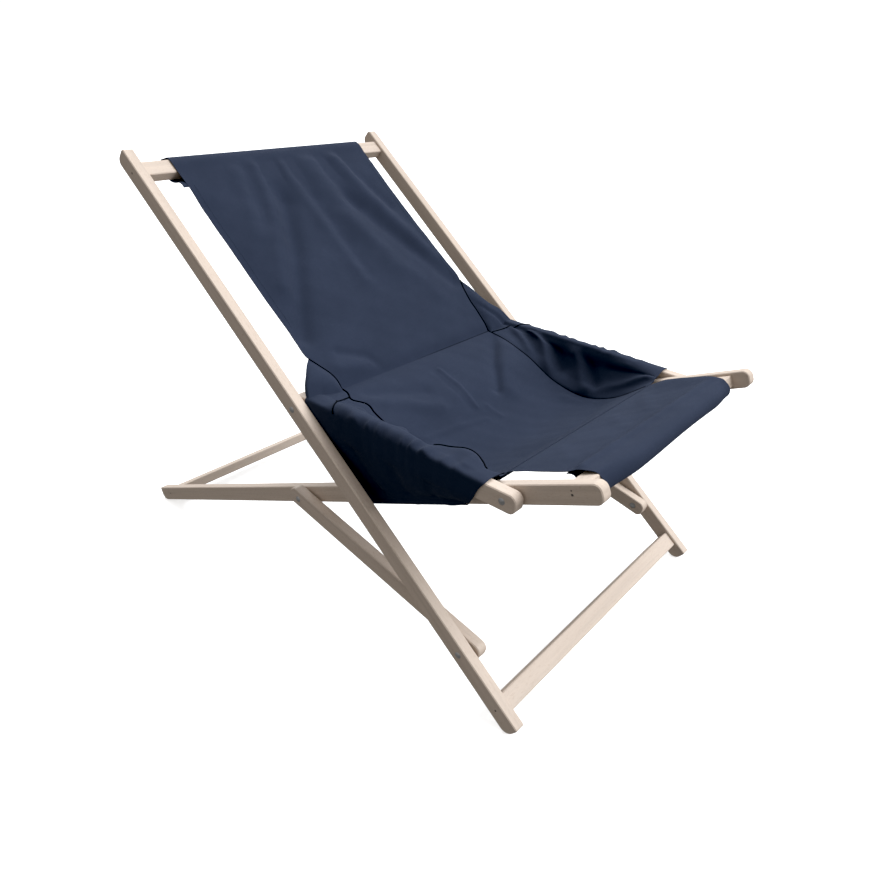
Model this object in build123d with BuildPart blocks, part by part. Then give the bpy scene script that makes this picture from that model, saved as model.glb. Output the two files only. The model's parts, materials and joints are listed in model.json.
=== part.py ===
from build123d import *
from math import asin, atan, atan2, copysign, cos, hypot, radians, sin, tan
import os

os.makedirs("parts", exist_ok=True)

# Folding wooden deckchair with a sewn bucket sling, in millimetres.
# X is the width, with the sitter's left at +X. Y runs to the rear. Z is up, with the floor at 0.

# Overall sizes
frame_width = 620.0
back_rail_long = 1162.0
seat_rail_long = 1194.0

# Wooden section shared by the rails, bars, arms and struts
rail_thick = 20.0
rail_deep = 30.0
bar_wide = 30.0
bar_thick = 20.0
edge_ease = 1.5

# Folding linkage: two long crossing links and two short equal ones
long_link = 470.0
short_link = 405.0
foot_pivot_at = 140.0
rear_pivot_at = 580.0
open_angle = 142.3
link_overhang = 23.0
layer_gap = 3.0

# Ends of the wooden members
foot_round = rail_deep / 2
foot_front_round = 3.0
foot_flat_depth = 1.0
end_round = 12.0
top_front_round = 6.0

# Crossbars, measured along their rails from the nearer end to the middle of the bar
foot_bar_at = 41.0
rear_bar_at = 40.0
top_bar_at = back_rail_long - 43.0
front_bar_at = seat_rail_long - 45.0

# Pivot hardware
bolt_radius = 3.0
bore_clearance = 0.05
head_radius = 5.5
head_high = 2.2
washer_radius = 8.0
nut_radius = 6.0
nut_high = 5.0
nut_recess = 0.5
recess_clearance = 0.4
open_clearance = 0.3

# Crossbar fixings: a narrow-headed screw at each end, and in the seat frame a pin beside it
screw_radius = 2.0
screw_long = 55.0
screw_sunk = 0.8
pin_radius = 1.25
pin_long = 42.0
pin_offset = 6.0
fixing_clearance = 0.05
bore_spare = 1.0

# Sling cloth
cloth = 1.2
cloth_clear = 0.6
seam_gap = 0.4
# Gaps across the width: the top hem to the back rails, the other edges to the seat rails
top_hem_gap = 55.0
crease_gap = 33.0
seat_seam_gap = 31.4
lip_edge_gap = 28.0
crease_below_pivot = 5.0
crease_forward = 18.0
top_loop_rise = 9.0
top_hem_long = 26.0
hem_seam = 2 * cloth
lip_behind_pivot = 30.0
lip_height = 17.0
front_loop_drop = 4.0
front_loop_reach = 8.0
front_hem_long = 30.0

# Side sleeves: each runs round an arm and the seat rail below it
sleeve_front_gap = 36.0
# Gap across the width from the top of the inner wall to the inner face of the arm
sleeve_top_gap = 2.0
gusset_rise = 45.0
# Ends of each sleeve's lower edge, behind the front pivot along the seat rail, and how far below
# the arm its rear edge leaves the back rail's line
sleeve_low_front = 77.0
sleeve_low_rear = 345.0
rear_bend_drop = 52.0
# How far the inner walls rise and fall from the seam as they lean out to the arm and the rail
upper_rise = 84.0
lower_drop = 60.0
# Room that the cuts above and below the seam take in, larger than a sleeve
cut_room = 300.0
# The seam with the seat: turns from the rear edge to the upright front end, and heights
# between the two edges, as shares of the whole
seam_turns = (0.0, 0.11, 0.21, 0.41, 0.68, 1.0)
seam_heights = (0.955, 0.737, 0.396, 0.188, 0.17, 0.646)
# Rise to the rear of the seat cloth at its lowest part, in degrees
seat_low_tilt = 8.0

SIDES = (("left", 1), ("right", -1))

# Places of the layers across the width, outside to inside
back_layer = frame_width / 2 - rail_thick / 2
link_layer = back_layer - rail_thick - layer_gap
seat_layer = link_layer - rail_thick - layer_gap
back_inner = back_layer - rail_thick / 2
seat_inner = seat_layer - rail_thick / 2
link_inner = link_layer - rail_thick / 2

# Half widths of the cloth
top_cloth_half = back_inner - top_hem_gap
crease_half = seat_inner - crease_gap
seat_cloth_half = seat_inner - seat_seam_gap
lip_half = seat_inner - lip_edge_gap
sleeve_top_half = link_inner - sleeve_top_gap

# Linkage solved in the back frame: u runs up the back rail from its foot, v to the sitter
arm_pivot_at = foot_pivot_at + long_link
front_pivot_at = rear_pivot_at + long_link
fold = radians(open_angle)
seat_fold = 2 * atan(tan(fold / 2) * (long_link - short_link) / (long_link + short_link))
rail_cross = fold - seat_fold
front_pivot_uv = (arm_pivot_at + short_link * cos(fold), short_link * sin(fold))
seat_end_uv = (
    front_pivot_uv[0] - front_pivot_at * cos(rail_cross),
    front_pivot_uv[1] - front_pivot_at * sin(rail_cross),
)
rear_foot_uv = (
    seat_end_uv[0] + foot_round * cos(rail_cross),
    seat_end_uv[1] + foot_round * sin(rail_cross),
)

# Both feet stand level: the line through the middles of their rounds lies along the floor
back_slope = -atan2(rear_foot_uv[1], rear_foot_uv[0] - foot_round)
seat_slope = radians(180) - back_slope - rail_cross
foot_distance = hypot(rear_foot_uv[0] - foot_round, rear_foot_uv[1])
foot_middle_z = foot_round - foot_flat_depth

# The origin is under the middle of the outer box, front rail ends to rear rail ends
rear_reach = foot_distance + foot_round * cos(seat_slope) + rail_deep / 2 * sin(seat_slope)
front_reach = (
    foot_distance
    - (seat_rail_long - end_round - foot_round) * cos(seat_slope)
    - (rail_deep / 2 - end_round) * sin(seat_slope)
    - end_round
)
front_foot_y = -(rear_reach + front_reach) / 2


def back_point(u, v):
    """Y and Z of a place on the back frame."""
    y = front_foot_y + (u - foot_round) * cos(back_slope) - v * sin(back_slope)
    z = foot_middle_z + (u - foot_round) * sin(back_slope) + v * cos(back_slope)
    return (y, z)


def seat_point(u, v):
    """Y and Z of a place on the seat frame, u from its rear end and v upwards."""
    y = front_foot_y + foot_distance - (u - foot_round) * cos(seat_slope) + v * sin(seat_slope)
    z = foot_middle_z + (u - foot_round) * sin(seat_slope) + v * cos(seat_slope)
    return (y, z)


arm_pivot = back_point(arm_pivot_at, 0)
foot_pivot = back_point(foot_pivot_at, 0)
rear_pivot = seat_point(rear_pivot_at, 0)
front_pivot = seat_point(front_pivot_at, 0)
arm_slope = atan2(front_pivot[1] - arm_pivot[1], front_pivot[0] - arm_pivot[0])
strut_slope = atan2(rear_pivot[1] - foot_pivot[1], rear_pivot[0] - foot_pivot[0])


def long_plane(point, angle, x, outward):
    """Plane along a member: local x runs along it, local y is upwards, at one place in the width."""
    return Plane(origin=(x, *point), x_dir=(0, cos(angle), sin(angle)), z_dir=(outward, 0, 0))


def back_plane(x):
    return long_plane(back_point(0, 0), back_slope, x, 1)


def seat_plane(x):
    return long_plane(seat_point(0, 0), radians(180) - seat_slope, x, -1)


def arm_plane(x):
    return long_plane(arm_pivot, arm_slope, x, -1)


def strut_plane(x):
    return long_plane(foot_pivot, strut_slope, x, 1)


def inward_plane(x, point, sign):
    """Plane square to X at one place in the width, facing the middle of the chair."""
    return Plane(origin=(x, *point), z_dir=(-sign, 0, 0))


def corner(sketch, u, v):
    """The sketch's corner nearest to a place."""
    return sketch.vertices().sort_by_distance((u, v))[0]


# Back frame rails
for side, sign in SIDES:
    with BuildPart() as back_rail:
        with BuildSketch(back_plane(sign * back_layer)) as outline:
            Rectangle(back_rail_long, rail_deep, align=(Align.MIN, Align.CENTER))
            fillet(corner(outline, 0, -rail_deep / 2), foot_round)
            fillet(corner(outline, 0, rail_deep / 2), foot_front_round)
            fillet(corner(outline, back_rail_long, -rail_deep / 2), end_round)
            fillet(corner(outline, back_rail_long, rail_deep / 2), top_front_round)
        extrude(amount=rail_thick / 2, both=True)
        chamfer(back_rail.faces().filter_by(Axis.X).edges(), edge_ease)
        split(bisect_by=Plane.XY, keep=Keep.TOP)
        with BuildSketch(back_plane(sign * back_layer)):
            with Locations((foot_pivot_at, 0), (arm_pivot_at, 0)):
                Circle(bolt_radius + bore_clearance)
            with Locations((foot_bar_at, 0), (top_bar_at, 0)):
                Circle(screw_radius + fixing_clearance)
        extrude(amount=rail_thick, both=True, mode=Mode.SUBTRACT)
    back_rail.part.label = f"back_rail_{side}"
    export_step(back_rail.part, f"parts/back_rail_{side}.step")

# Seat frame rails, inside the back rails and the links
for side, sign in SIDES:
    with BuildPart() as seat_rail:
        with BuildSketch(seat_plane(sign * seat_layer)) as outline:
            Rectangle(seat_rail_long, rail_deep, align=(Align.MIN, Align.CENTER))
            fillet(corner(outline, 0, -rail_deep / 2), foot_round)
            fillet(corner(outline, seat_rail_long, -rail_deep / 2), end_round)
            fillet(corner(outline, seat_rail_long, rail_deep / 2), end_round)
        extrude(amount=rail_thick / 2, both=True)
        chamfer(seat_rail.faces().filter_by(Axis.X).edges(), edge_ease)
        split(bisect_by=Plane.XY, keep=Keep.TOP)
        with BuildSketch(seat_plane(sign * seat_layer)):
            with Locations((rear_pivot_at, 0), (front_pivot_at, 0)):
                Circle(bolt_radius + bore_clearance)
            with Locations((rear_bar_at, 0), (front_bar_at, 0)):
                Circle(screw_radius + fixing_clearance)
            with Locations((rear_bar_at, pin_offset), (front_bar_at, pin_offset)):
                Circle(pin_radius + fixing_clearance)
        extrude(amount=rail_thick, both=True, mode=Mode.SUBTRACT)
        with BuildSketch(seat_plane(sign * seat_inner)):
            with Locations((rear_pivot_at, 0), (front_pivot_at, 0)):
                Circle(nut_radius + recess_clearance)
        extrude(amount=nut_recess + nut_high, both=True, mode=Mode.SUBTRACT)
    seat_rail.part.label = f"seat_rail_{side}"
    export_step(seat_rail.part, f"parts/seat_rail_{side}.step")

# Arms and struts share the layer between the rails and are cut to one length
for side, sign in SIDES:
    with BuildPart() as arm:
        with BuildSketch(arm_plane(sign * link_layer)):
            with Locations((short_link / 2, 0)):
                RectangleRounded(short_link + 2 * link_overhang, rail_deep, end_round)
        extrude(amount=rail_thick / 2, both=True)
        chamfer(arm.faces().filter_by(Axis.X).edges(), edge_ease)
        with BuildSketch(arm_plane(sign * link_layer)):
            with Locations((0, 0), (short_link, 0)):
                Circle(bolt_radius + bore_clearance)
        extrude(amount=rail_thick, both=True, mode=Mode.SUBTRACT)
        with BuildSketch(arm_plane(sign * link_inner)):
            Circle(nut_radius + recess_clearance)
        extrude(amount=nut_recess + nut_high, both=True, mode=Mode.SUBTRACT)
    arm.part.label = f"arm_{side}"
    export_step(arm.part, f"parts/arm_{side}.step")

for side, sign in SIDES:
    with BuildPart() as strut:
        with BuildSketch(strut_plane(sign * link_layer)):
            with Locations((short_link / 2, 0)):
                RectangleRounded(short_link + 2 * link_overhang, rail_deep, end_round)
        extrude(amount=rail_thick / 2, both=True)
        chamfer(strut.faces().filter_by(Axis.X).edges(), edge_ease)
        with BuildSketch(strut_plane(sign * link_layer)):
            with Locations((0, 0), (short_link, 0)):
                Circle(bolt_radius + bore_clearance)
        extrude(amount=rail_thick, both=True, mode=Mode.SUBTRACT)
        with BuildSketch(strut_plane(sign * link_inner)):
            Circle(nut_radius + recess_clearance)
        extrude(amount=nut_recess + nut_high, both=True, mode=Mode.SUBTRACT)
    strut.part.label = f"strut_{side}"
    export_step(strut.part, f"parts/strut_{side}.step")

# Crossbars, centred in the depth of their rails and bored at both ends for their fixings
screw_hole = (0, screw_radius + fixing_clearance, screw_long - rail_thick + bore_spare)
pin_hole = (pin_offset, pin_radius + fixing_clearance, pin_long - rail_thick + bore_spare)
BARS = (
    ("top_bar", back_plane, top_bar_at, back_inner, (screw_hole,)),
    ("foot_bar", back_plane, foot_bar_at, back_inner, (screw_hole,)),
    ("front_bar", seat_plane, front_bar_at, seat_inner, (screw_hole, pin_hole)),
    ("rear_bar", seat_plane, rear_bar_at, seat_inner, (screw_hole, pin_hole)),
)
for name, plane, at, half_long, holes in BARS:
    with BuildPart() as bar:
        with BuildSketch(plane(0)) as section:
            with Locations((at, 0)):
                Rectangle(bar_wide, bar_thick)
            chamfer(section.vertices(), edge_ease)
        extrude(amount=half_long, both=True)
        for side, sign in SIDES:
            for height, radius, deep in holes:
                with BuildSketch(plane(sign * half_long)):
                    with Locations((at, height)):
                        Circle(radius)
                extrude(amount=deep, both=True, mode=Mode.SUBTRACT)
    bar.part.label = name
    export_step(bar.part, f"parts/{name}.step")

# Screws and pins that hold the crossbars: plain rods that start a little inside the outer face
seat_outer = seat_layer + rail_thick / 2
FIXINGS = (
    ("back_frame_screws", back_point, (top_bar_at, foot_bar_at), 0, frame_width / 2, screw_radius, screw_long),
    ("seat_frame_screws", seat_point, (front_bar_at, rear_bar_at), 0, seat_outer, screw_radius, screw_long),
    ("seat_frame_pins", seat_point, (front_bar_at, rear_bar_at), pin_offset, seat_outer, pin_radius, pin_long),
)
for name, place, stations, height, outer, radius, long in FIXINGS:
    with BuildPart() as rods:
        for side, sign in SIDES:
            for at in stations:
                point = place(at, height)
                with BuildSketch(inward_plane(sign * (outer - screw_sunk), point, sign)):
                    Circle(radius)
                extrude(amount=long - screw_sunk)
    rods.part.label = name
    export_step(rods.part, f"parts/{name}.step")


# Pivot bolts: a domed head on the outer member, and a shank through both to a sunk nut
dome_radius = (head_radius**2 + head_high**2) / (2 * head_high)
dome_half_turn = asin(head_radius / dome_radius) / 2
dome_middle = (
    dome_radius - head_high - dome_radius * cos(dome_half_turn),
    dome_radius * sin(dome_half_turn),
)
nut_seat = nut_recess + nut_high
through_long = 2 * rail_thick + layer_gap - nut_recess
open_long = rail_thick + layer_gap - open_clearance
back_face = frame_width / 2
link_face = link_layer + rail_thick / 2
BOLTS = (
    ("rail_bolts", (arm_pivot, foot_pivot), back_face, through_long),
    ("arm_bolts", (front_pivot,), link_face, through_long),
    ("strut_bolts", (rear_pivot,), link_face, open_long),
)
for name, pivots, face, shank_long in BOLTS:
    with BuildPart() as bolts:
        for side, sign in SIDES:
            for pivot in pivots:
                bolt_plane = Plane(origin=(sign * face, *pivot), x_dir=(-sign, 0, 0), z_dir=(0, 1, 0))
                with BuildSketch(bolt_plane):
                    with BuildLine():
                        ThreePointArc((-head_high, 0), dome_middle, (0, head_radius))
                        Polyline(
                            (0, head_radius),
                            (0, bolt_radius),
                            (shank_long, bolt_radius),
                            (shank_long, 0),
                            (-head_high, 0),
                        )
                    make_face()
                revolve(axis=Axis((0, *pivot), (1, 0, 0)))
    bolts.part.label = name
    export_step(bolts.part, f"parts/{name}.step")

# Six-sided nuts, sunk in the inner faces, on the ends of the bolts
NUTS = (
    ("rail_nuts", (arm_pivot, foot_pivot), link_inner),
    ("arm_nuts", (front_pivot,), seat_inner),
    ("seat_nuts", (rear_pivot,), seat_inner),
)
for name, pivots, inner_face in NUTS:
    with BuildPart() as nuts:
        for side, sign in SIDES:
            for pivot in pivots:
                with BuildSketch(inward_plane(sign * (inner_face + nut_seat), pivot, sign)):
                    RegularPolygon(nut_radius, 6)
                    Circle(bolt_radius + bore_clearance, mode=Mode.SUBTRACT)
                extrude(amount=nut_high)
    nuts.part.label = name
    export_step(nuts.part, f"parts/{name}.step")

# Spacer washers between the layers
WASHERS = (
    ("rail_washers", (arm_pivot, foot_pivot), back_inner, layer_gap),
    ("arm_washers", (front_pivot,), link_inner, layer_gap),
    ("strut_washers", (rear_pivot,), link_inner, layer_gap - open_clearance),
)
for name, pivots, face, thick in WASHERS:
    with BuildPart() as washers:
        for side, sign in SIDES:
            for pivot in pivots:
                with BuildSketch(inward_plane(sign * face, pivot, sign)):
                    Circle(washer_radius)
                    Circle(bolt_radius + bore_clearance, mode=Mode.SUBTRACT)
                extrude(amount=thick)
    washers.part.label = name
    export_step(washers.part, f"parts/{name}.step")

# Back panel of the sling: a flat cloth hemmed into a loose loop round the top bar
crease_at = arm_pivot_at - crease_below_pivot
bar_low = top_bar_at - bar_wide / 2 - cloth_clear
bar_high = top_bar_at + bar_wide / 2
loop_inside = bar_thick / 2 + cloth_clear
loop_outside = loop_inside + cloth
crest = bar_high + top_loop_rise
hem_at = bar_low - top_hem_long
with BuildPart() as sling_back:
    with BuildSketch(back_plane(0)):
        with BuildLine():
            Polyline(
                (bar_high, -loop_outside),
                (bar_low, -loop_outside),
                (hem_at, loop_inside),
                (crease_at, crease_forward - cloth),
                (crease_at, crease_forward),
                (bar_low, loop_outside),
                (bar_high, loop_outside),
            )
            ThreePointArc((bar_high, loop_outside), (crest, 0), (bar_high, -loop_outside))
        make_face()
        with BuildLine():
            Polyline(
                (bar_high, -loop_inside),
                (bar_low, -loop_inside),
                (hem_at + hem_seam, loop_inside),
                (bar_high, loop_inside),
            )
            ThreePointArc((bar_high, loop_inside), (crest - cloth, 0), (bar_high, -loop_inside))
        make_face(mode=Mode.SUBTRACT)
    extrude(amount=top_cloth_half, both=True)
    cut_plane = Plane(
        origin=(0, *back_point(0, 0)),
        x_dir=(1, 0, 0),
        z_dir=(0, -sin(back_slope), cos(back_slope)),
    )
    with BuildSketch(cut_plane):
        Polygon(
            (-crease_half, crease_at),
            (crease_half, crease_at),
            (top_cloth_half, hem_at),
            (top_cloth_half, crest),
            (-top_cloth_half, crest),
            (-top_cloth_half, hem_at),
            align=None,
        )
    extrude(amount=rail_deep, both=True, mode=Mode.INTERSECT)
sling_back.part.label = "sling_back"
export_step(sling_back.part, "parts/sling_back.step")

# Front lip of the sling: from the seat's front seam to a loop round the front bar
lip_at = front_pivot_at - lip_behind_pivot
front_low = front_bar_at - bar_wide / 2 - cloth_clear
front_high = front_bar_at + bar_wide / 2
front_out = front_high + front_loop_reach
front_under = loop_outside + front_loop_drop
with BuildPart() as sling_front:
    with BuildSketch(seat_plane(0)):
        with BuildLine():
            Polyline(
                (front_high, loop_outside),
                (front_low, loop_outside),
                (lip_at, lip_height),
                (lip_at, lip_height - cloth),
                (front_low - front_hem_long, loop_inside),
                (front_low, -loop_outside),
                (front_high, -front_under),
            )
            ThreePointArc(
                (front_high, -front_under), (front_out, -front_loop_drop), (front_high, loop_outside)
            )
        make_face()
        with BuildLine():
            Polyline(
                (front_high, loop_inside),
                (front_low - front_hem_long + hem_seam, loop_inside),
                (front_low, -loop_inside),
                (front_high, cloth - front_under),
            )
            ThreePointArc(
                (front_high, cloth - front_under),
                (front_out - cloth, -front_loop_drop),
                (front_high, loop_inside),
            )
        make_face(mode=Mode.SUBTRACT)
    extrude(amount=lip_half, both=True)
sling_front.part.label = "sling_front"
export_step(sling_front.part, "parts/sling_front.step")

# Side view of the sleeves: they reach from the crease nearly to the front pivots, and from the top
# of the arms to the underside of the seat rails. Rays fan out over this from one line.
fan_y = front_pivot[0] + sleeve_front_gap
crease_rear = back_point(crease_at, crease_forward)
fan_z = crease_rear[1] - (crease_rear[0] - fan_y) * tan(back_slope)
sleeve_stand = rail_deep / 2 + cloth_clear + cloth
sleeve_outer = link_face + cloth_clear + cloth
arm_top = (arm_pivot[0] + sleeve_stand * sin(arm_slope), arm_pivot[1] - sleeve_stand * cos(arm_slope))
rail_under = seat_point(front_pivot_at, -sleeve_stand)
rail_angle = radians(180) - seat_slope


def fan_reach(turn, point, angle):
    """Distance from the fan line, along a ray, to a straight line through a point."""
    across = (point[0] - fan_y) * sin(angle) - (point[1] - fan_z) * cos(angle)
    return across / (cos(turn) * sin(angle) - sin(turn) * cos(angle))


def fan_point(turn, reach):
    """Y and Z of a place on a ray."""
    return (fan_y + reach * cos(turn), fan_z + reach * sin(turn))


seam_points = []
for share, height in zip(seam_turns, seam_heights):
    turn = back_slope + share * (radians(90) - back_slope)
    top = fan_reach(turn, arm_top, arm_slope)
    under = fan_reach(turn, rail_under, rail_angle)
    seam_points.append(fan_point(turn, under + height * (top - under)))

# Seat panel of the sling: one sheet that follows the seams of the two sleeves
crease_point = back_point(crease_at - cloth, crease_forward + seam_gap)
lip_point = seat_point(lip_at - seam_gap, lip_height)
seat_line = [crease_point, *seam_points[1:-1], lip_point]
under_line = [(y, z - cloth) for y, z in seat_line]
seat_tangent = Vector(cos(radians(seat_low_tilt)), sin(radians(seat_low_tilt)))
with BuildPart() as sling_seat:
    with BuildSketch(Plane.YZ):
        with BuildLine():
            for line in (seat_line, under_line):
                backwards = TangentArc(line[3], line[2], tangent=seat_tangent)
                backwards = TangentArc(line[2], line[1], tangent=backwards % 1)
                TangentArc(line[1], line[0], tangent=backwards % 1)
                forwards = TangentArc(line[3], line[4], tangent=-seat_tangent)
                TangentArc(line[4], line[5], tangent=forwards % 1)
            Line(seat_line[0], under_line[0])
            Line(seat_line[-1], under_line[-1])
        make_face()
    extrude(amount=seat_cloth_half, both=True)
sling_seat.part.label = "sling_seat"
export_step(sling_seat.part, "parts/sling_seat.step")

# Side sleeves: tubes of cloth, open at both ends, whose inner walls lean out from the seams.
# The outline is drawn at the seam and carried outwards. Then the room above and below the
# seam is cut away along the lean of each wall, and the solid left is hollowed.
rear_top = fan_reach(back_slope, arm_top, arm_slope)
shoulder_turn = back_slope + seam_turns[1] * (radians(90) - back_slope)
sleeve_outline = (
    seat_point(front_pivot_at - sleeve_low_rear, -sleeve_stand),
    fan_point(back_slope, rear_top - rear_bend_drop),
    fan_point(back_slope, rear_top + gusset_rise),
    fan_point(shoulder_turn, fan_reach(shoulder_turn, arm_top, arm_slope)),
    fan_point(radians(90), fan_reach(radians(90), arm_top, arm_slope)),
    seat_point(front_pivot_at - sleeve_low_front, -sleeve_stand),
)
rear_side = Vector(0, sin(back_slope), -cos(back_slope))
front_side = Vector(0, -1, 0)
end_facing = 0.7
seam_half = seat_cloth_half + seam_gap
upper_lean = sleeve_top_half - seam_half
lower_lean = seat_inner - cloth_clear - cloth - seam_half
for side, sign in SIDES:
    seam_plane = Plane.YZ.offset(sign * seam_half)
    with BuildPart() as side_sleeve:
        with BuildSketch(seam_plane):
            Polygon(*sleeve_outline, align=None)
        extrude(amount=sleeve_outer - seam_half, dir=(sign, 0, 0))
        for lean, rise in ((upper_lean, upper_rise), (lower_lean, -lower_drop)):
            wall = Vector(sign * lean, 0, rise)
            beyond = copysign(cut_room, rise)
            with BuildSketch(seam_plane):
                Polygon(
                    (seam_points[0][0] + cut_room, seam_points[0][1] + beyond),
                    (seam_points[0][0] + cut_room, seam_points[0][1]),
                    *seam_points,
                    (seam_points[-1][0] - cut_room, seam_points[-1][1]),
                    (seam_points[-1][0] - cut_room, seam_points[-1][1] + beyond),
                    align=None,
                )
            extrude(amount=wall.length, dir=wall.normalized(), mode=Mode.SUBTRACT)
        ends = []
        for face in side_sleeve.faces():
            facing = face.normal_at()
            if max(facing.dot(rear_side), facing.dot(front_side)) > end_facing:
                ends.append(face)
        offset(amount=-cloth, openings=ends)
    side_sleeve.part.label = f"side_sleeve_{side}"
    export_step(side_sleeve.part, f"parts/side_sleeve_{side}.step")
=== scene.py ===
import json
import math
from typing import NamedTuple

import bmesh
import bpy
import numpy as np
from bpy.props import FloatProperty, FloatVectorProperty, PointerProperty
from bpy.types import Operator, Panel, PropertyGroup
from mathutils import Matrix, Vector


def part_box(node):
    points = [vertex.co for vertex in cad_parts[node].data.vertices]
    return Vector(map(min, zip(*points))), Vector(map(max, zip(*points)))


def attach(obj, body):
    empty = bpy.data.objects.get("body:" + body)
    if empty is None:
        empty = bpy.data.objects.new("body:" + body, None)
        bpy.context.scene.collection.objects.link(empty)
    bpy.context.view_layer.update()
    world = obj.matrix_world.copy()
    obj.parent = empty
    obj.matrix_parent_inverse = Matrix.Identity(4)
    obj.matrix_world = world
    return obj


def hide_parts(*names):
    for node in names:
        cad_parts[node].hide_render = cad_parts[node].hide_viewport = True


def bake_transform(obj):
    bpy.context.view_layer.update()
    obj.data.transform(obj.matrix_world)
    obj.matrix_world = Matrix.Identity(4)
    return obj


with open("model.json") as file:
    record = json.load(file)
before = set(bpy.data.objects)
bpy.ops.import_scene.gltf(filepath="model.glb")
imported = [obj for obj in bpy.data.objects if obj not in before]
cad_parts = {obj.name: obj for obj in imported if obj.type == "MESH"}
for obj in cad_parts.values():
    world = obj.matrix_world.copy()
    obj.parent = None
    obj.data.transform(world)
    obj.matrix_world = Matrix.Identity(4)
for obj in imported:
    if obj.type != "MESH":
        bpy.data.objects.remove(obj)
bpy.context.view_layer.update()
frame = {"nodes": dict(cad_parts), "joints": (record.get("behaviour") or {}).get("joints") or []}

bl_info = {
    "name": "Folding Deckchair",
    "version": (1, 0, 0),
    "blender": (4, 5, 0),
    "location": "View3D > Sidebar > Deckchair",
    "description": "Sews a bucket sling onto a folding beech deckchair and finishes its wood and steel",
    "category": "Add Mesh",
}

# Radius of the floor and of the white backdrop
ROOM_RADIUS = 24.0


def pivot(joint_name):
    """Y and Z of a joint's axis."""
    joint = next(joint for joint in frame["joints"] if joint["name"] == joint_name)
    return np.array(joint["pos_m"][1:], dtype=float)


def middle(node_name):
    """Y and Z of the middle of a node's box."""
    low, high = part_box(node_name)
    return np.array([(low.y + high.y) / 2, (low.z + high.z) / 2])


def unit(vector):
    """The vector at length one."""
    return vector / np.linalg.norm(vector)


# Side view of the chair, in Y and Z: three pivots, and the direction and upper side of each member
ARM_PIVOT = pivot("arm_fold")
FRONT_PIVOT = pivot("seat_fold")
FOOT_PIVOT = pivot("strut_fold")
BACK_ALONG = unit(ARM_PIVOT - FOOT_PIVOT)
BACK_FACE = np.array([-BACK_ALONG[1], BACK_ALONG[0]])
SEAT_ALONG = unit(middle("front_bar") - middle("rear_bar"))
SEAT_FACE = np.array([SEAT_ALONG[1], -SEAT_ALONG[0]])
ARM_ALONG = unit(FRONT_PIVOT - ARM_PIVOT)
ARM_FACE = np.array([ARM_ALONG[1], -ARM_ALONG[0]])
STRUT_ALONG = unit(middle("strut_bolts") - FOOT_PIVOT)
TOP_BAR_U = float((middle("top_bar") - ARM_PIVOT) @ BACK_ALONG)
FRONT_BAR_W = float((middle("front_bar") - FRONT_PIVOT) @ SEAT_ALONG)

# Where the sling bends: at the crease of back and seat, given by its height up the back from the arm
# pivot and its distance in front of the rails
CREASE_U = -0.005
CREASE_V = 0.0132


def on_back(u, v):
    """Y and Z of a place u up the back rail from the arm pivot and v in front of its middle."""
    return ARM_PIVOT + np.multiply.outer(u, BACK_ALONG) + np.multiply.outer(v, BACK_FACE)


def on_seat(w, h):
    """Y and Z of a place w along the seat rail from the front pivot and h above its middle."""
    return FRONT_PIVOT + np.multiply.outer(w, SEAT_ALONG) + np.multiply.outer(h, SEAT_FACE)


def on_arm(t, d):
    """Y and Z of a place t along the arm from its rear pivot and d above its middle."""
    return ARM_PIVOT + np.multiply.outer(t, ARM_ALONG) + np.multiply.outer(d, ARM_FACE)


def in_space(x, side):
    """Points from an array of X and an array of Y and Z."""
    return np.concatenate([np.broadcast_to(x, side.shape[:-1])[..., None], side], axis=-1)


def fade(x, low, high):
    """Rises from 0 at low to 1 at high, as 3f^2 - 2f^3."""
    f = np.clip((np.asarray(x, dtype=float) - low) / (high - low), 0, 1)
    return f * f * (3 - 2 * f)


def hermite(f, start, end, start_slope, end_slope):
    """The cubic with the given ends and end slopes, at share f of its length."""
    g = 1 - f
    ends = (1 + 2 * f) * g * g * start + f * f * (3 - 2 * f) * end
    return ends + f * g * g * start_slope - f * f * g * end_slope


def through(places, values, x):
    """A smooth curve of values through the given ones: cubics whose slope at each is its neighbours'."""
    places = np.asarray(places, dtype=float)
    values = np.asarray(values, dtype=float)
    slopes = np.gradient(values, places, axis=0)
    x = np.clip(np.asarray(x, dtype=float), places[0], places[-1])
    i = np.clip(np.searchsorted(places, x, side="right") - 1, 0, len(places) - 2)
    span = places[i + 1] - places[i]
    f = (x - places[i]) / span
    if values.ndim > 1:
        span = span[..., None]
        f = f[..., None]
    return hermite(f, values[i], values[i + 1], span * slopes[i], span * slopes[i + 1])


def run_along(points):
    """Length along a line of points, added up from its first."""
    return np.append(0, np.cumsum(np.linalg.norm(np.diff(points, axis=0), axis=1)))


def smooth_line(points, count):
    """Points at even steps along a smooth curve through the given ones."""
    points = np.asarray(points, dtype=float)
    knots = run_along(points)
    fine = through(knots, points, np.linspace(0, knots[-1], 40 * len(points)))
    run = run_along(fine)
    return through(run, fine, np.linspace(0, run[-1], count))


def before_crest(path):
    """A column with 1 for the points of a path before the one that lies farthest along, and then 0."""
    return (np.arange(len(path)) < np.argmax(path[:, 0]))[:, None].astype(float)


def soft_folds(a, b, folds):
    """Height of a set of folds on a sheet with places a, b: each runs along a line through its places,
    and falls off on both sides as exp(-(distance / width)^2)."""
    height = np.zeros(np.broadcast(a, b).shape)
    for width, rise, *places in folds:
        nearest = np.full(height.shape, np.inf)
        for (a0, b0), (a1, b1) in zip(places, places[1:]):
            run = np.array([a1 - a0, b1 - b0])
            share = np.clip(((a - a0) * run[0] + (b - b0) * run[1]) / (run @ run), 0, 1)
            nearest = np.minimum(nearest, np.hypot(a - a0 - share * run[0], b - b0 - share * run[1]))
        height = height + rise * np.exp(-((nearest / width) ** 2))
    return height


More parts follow.
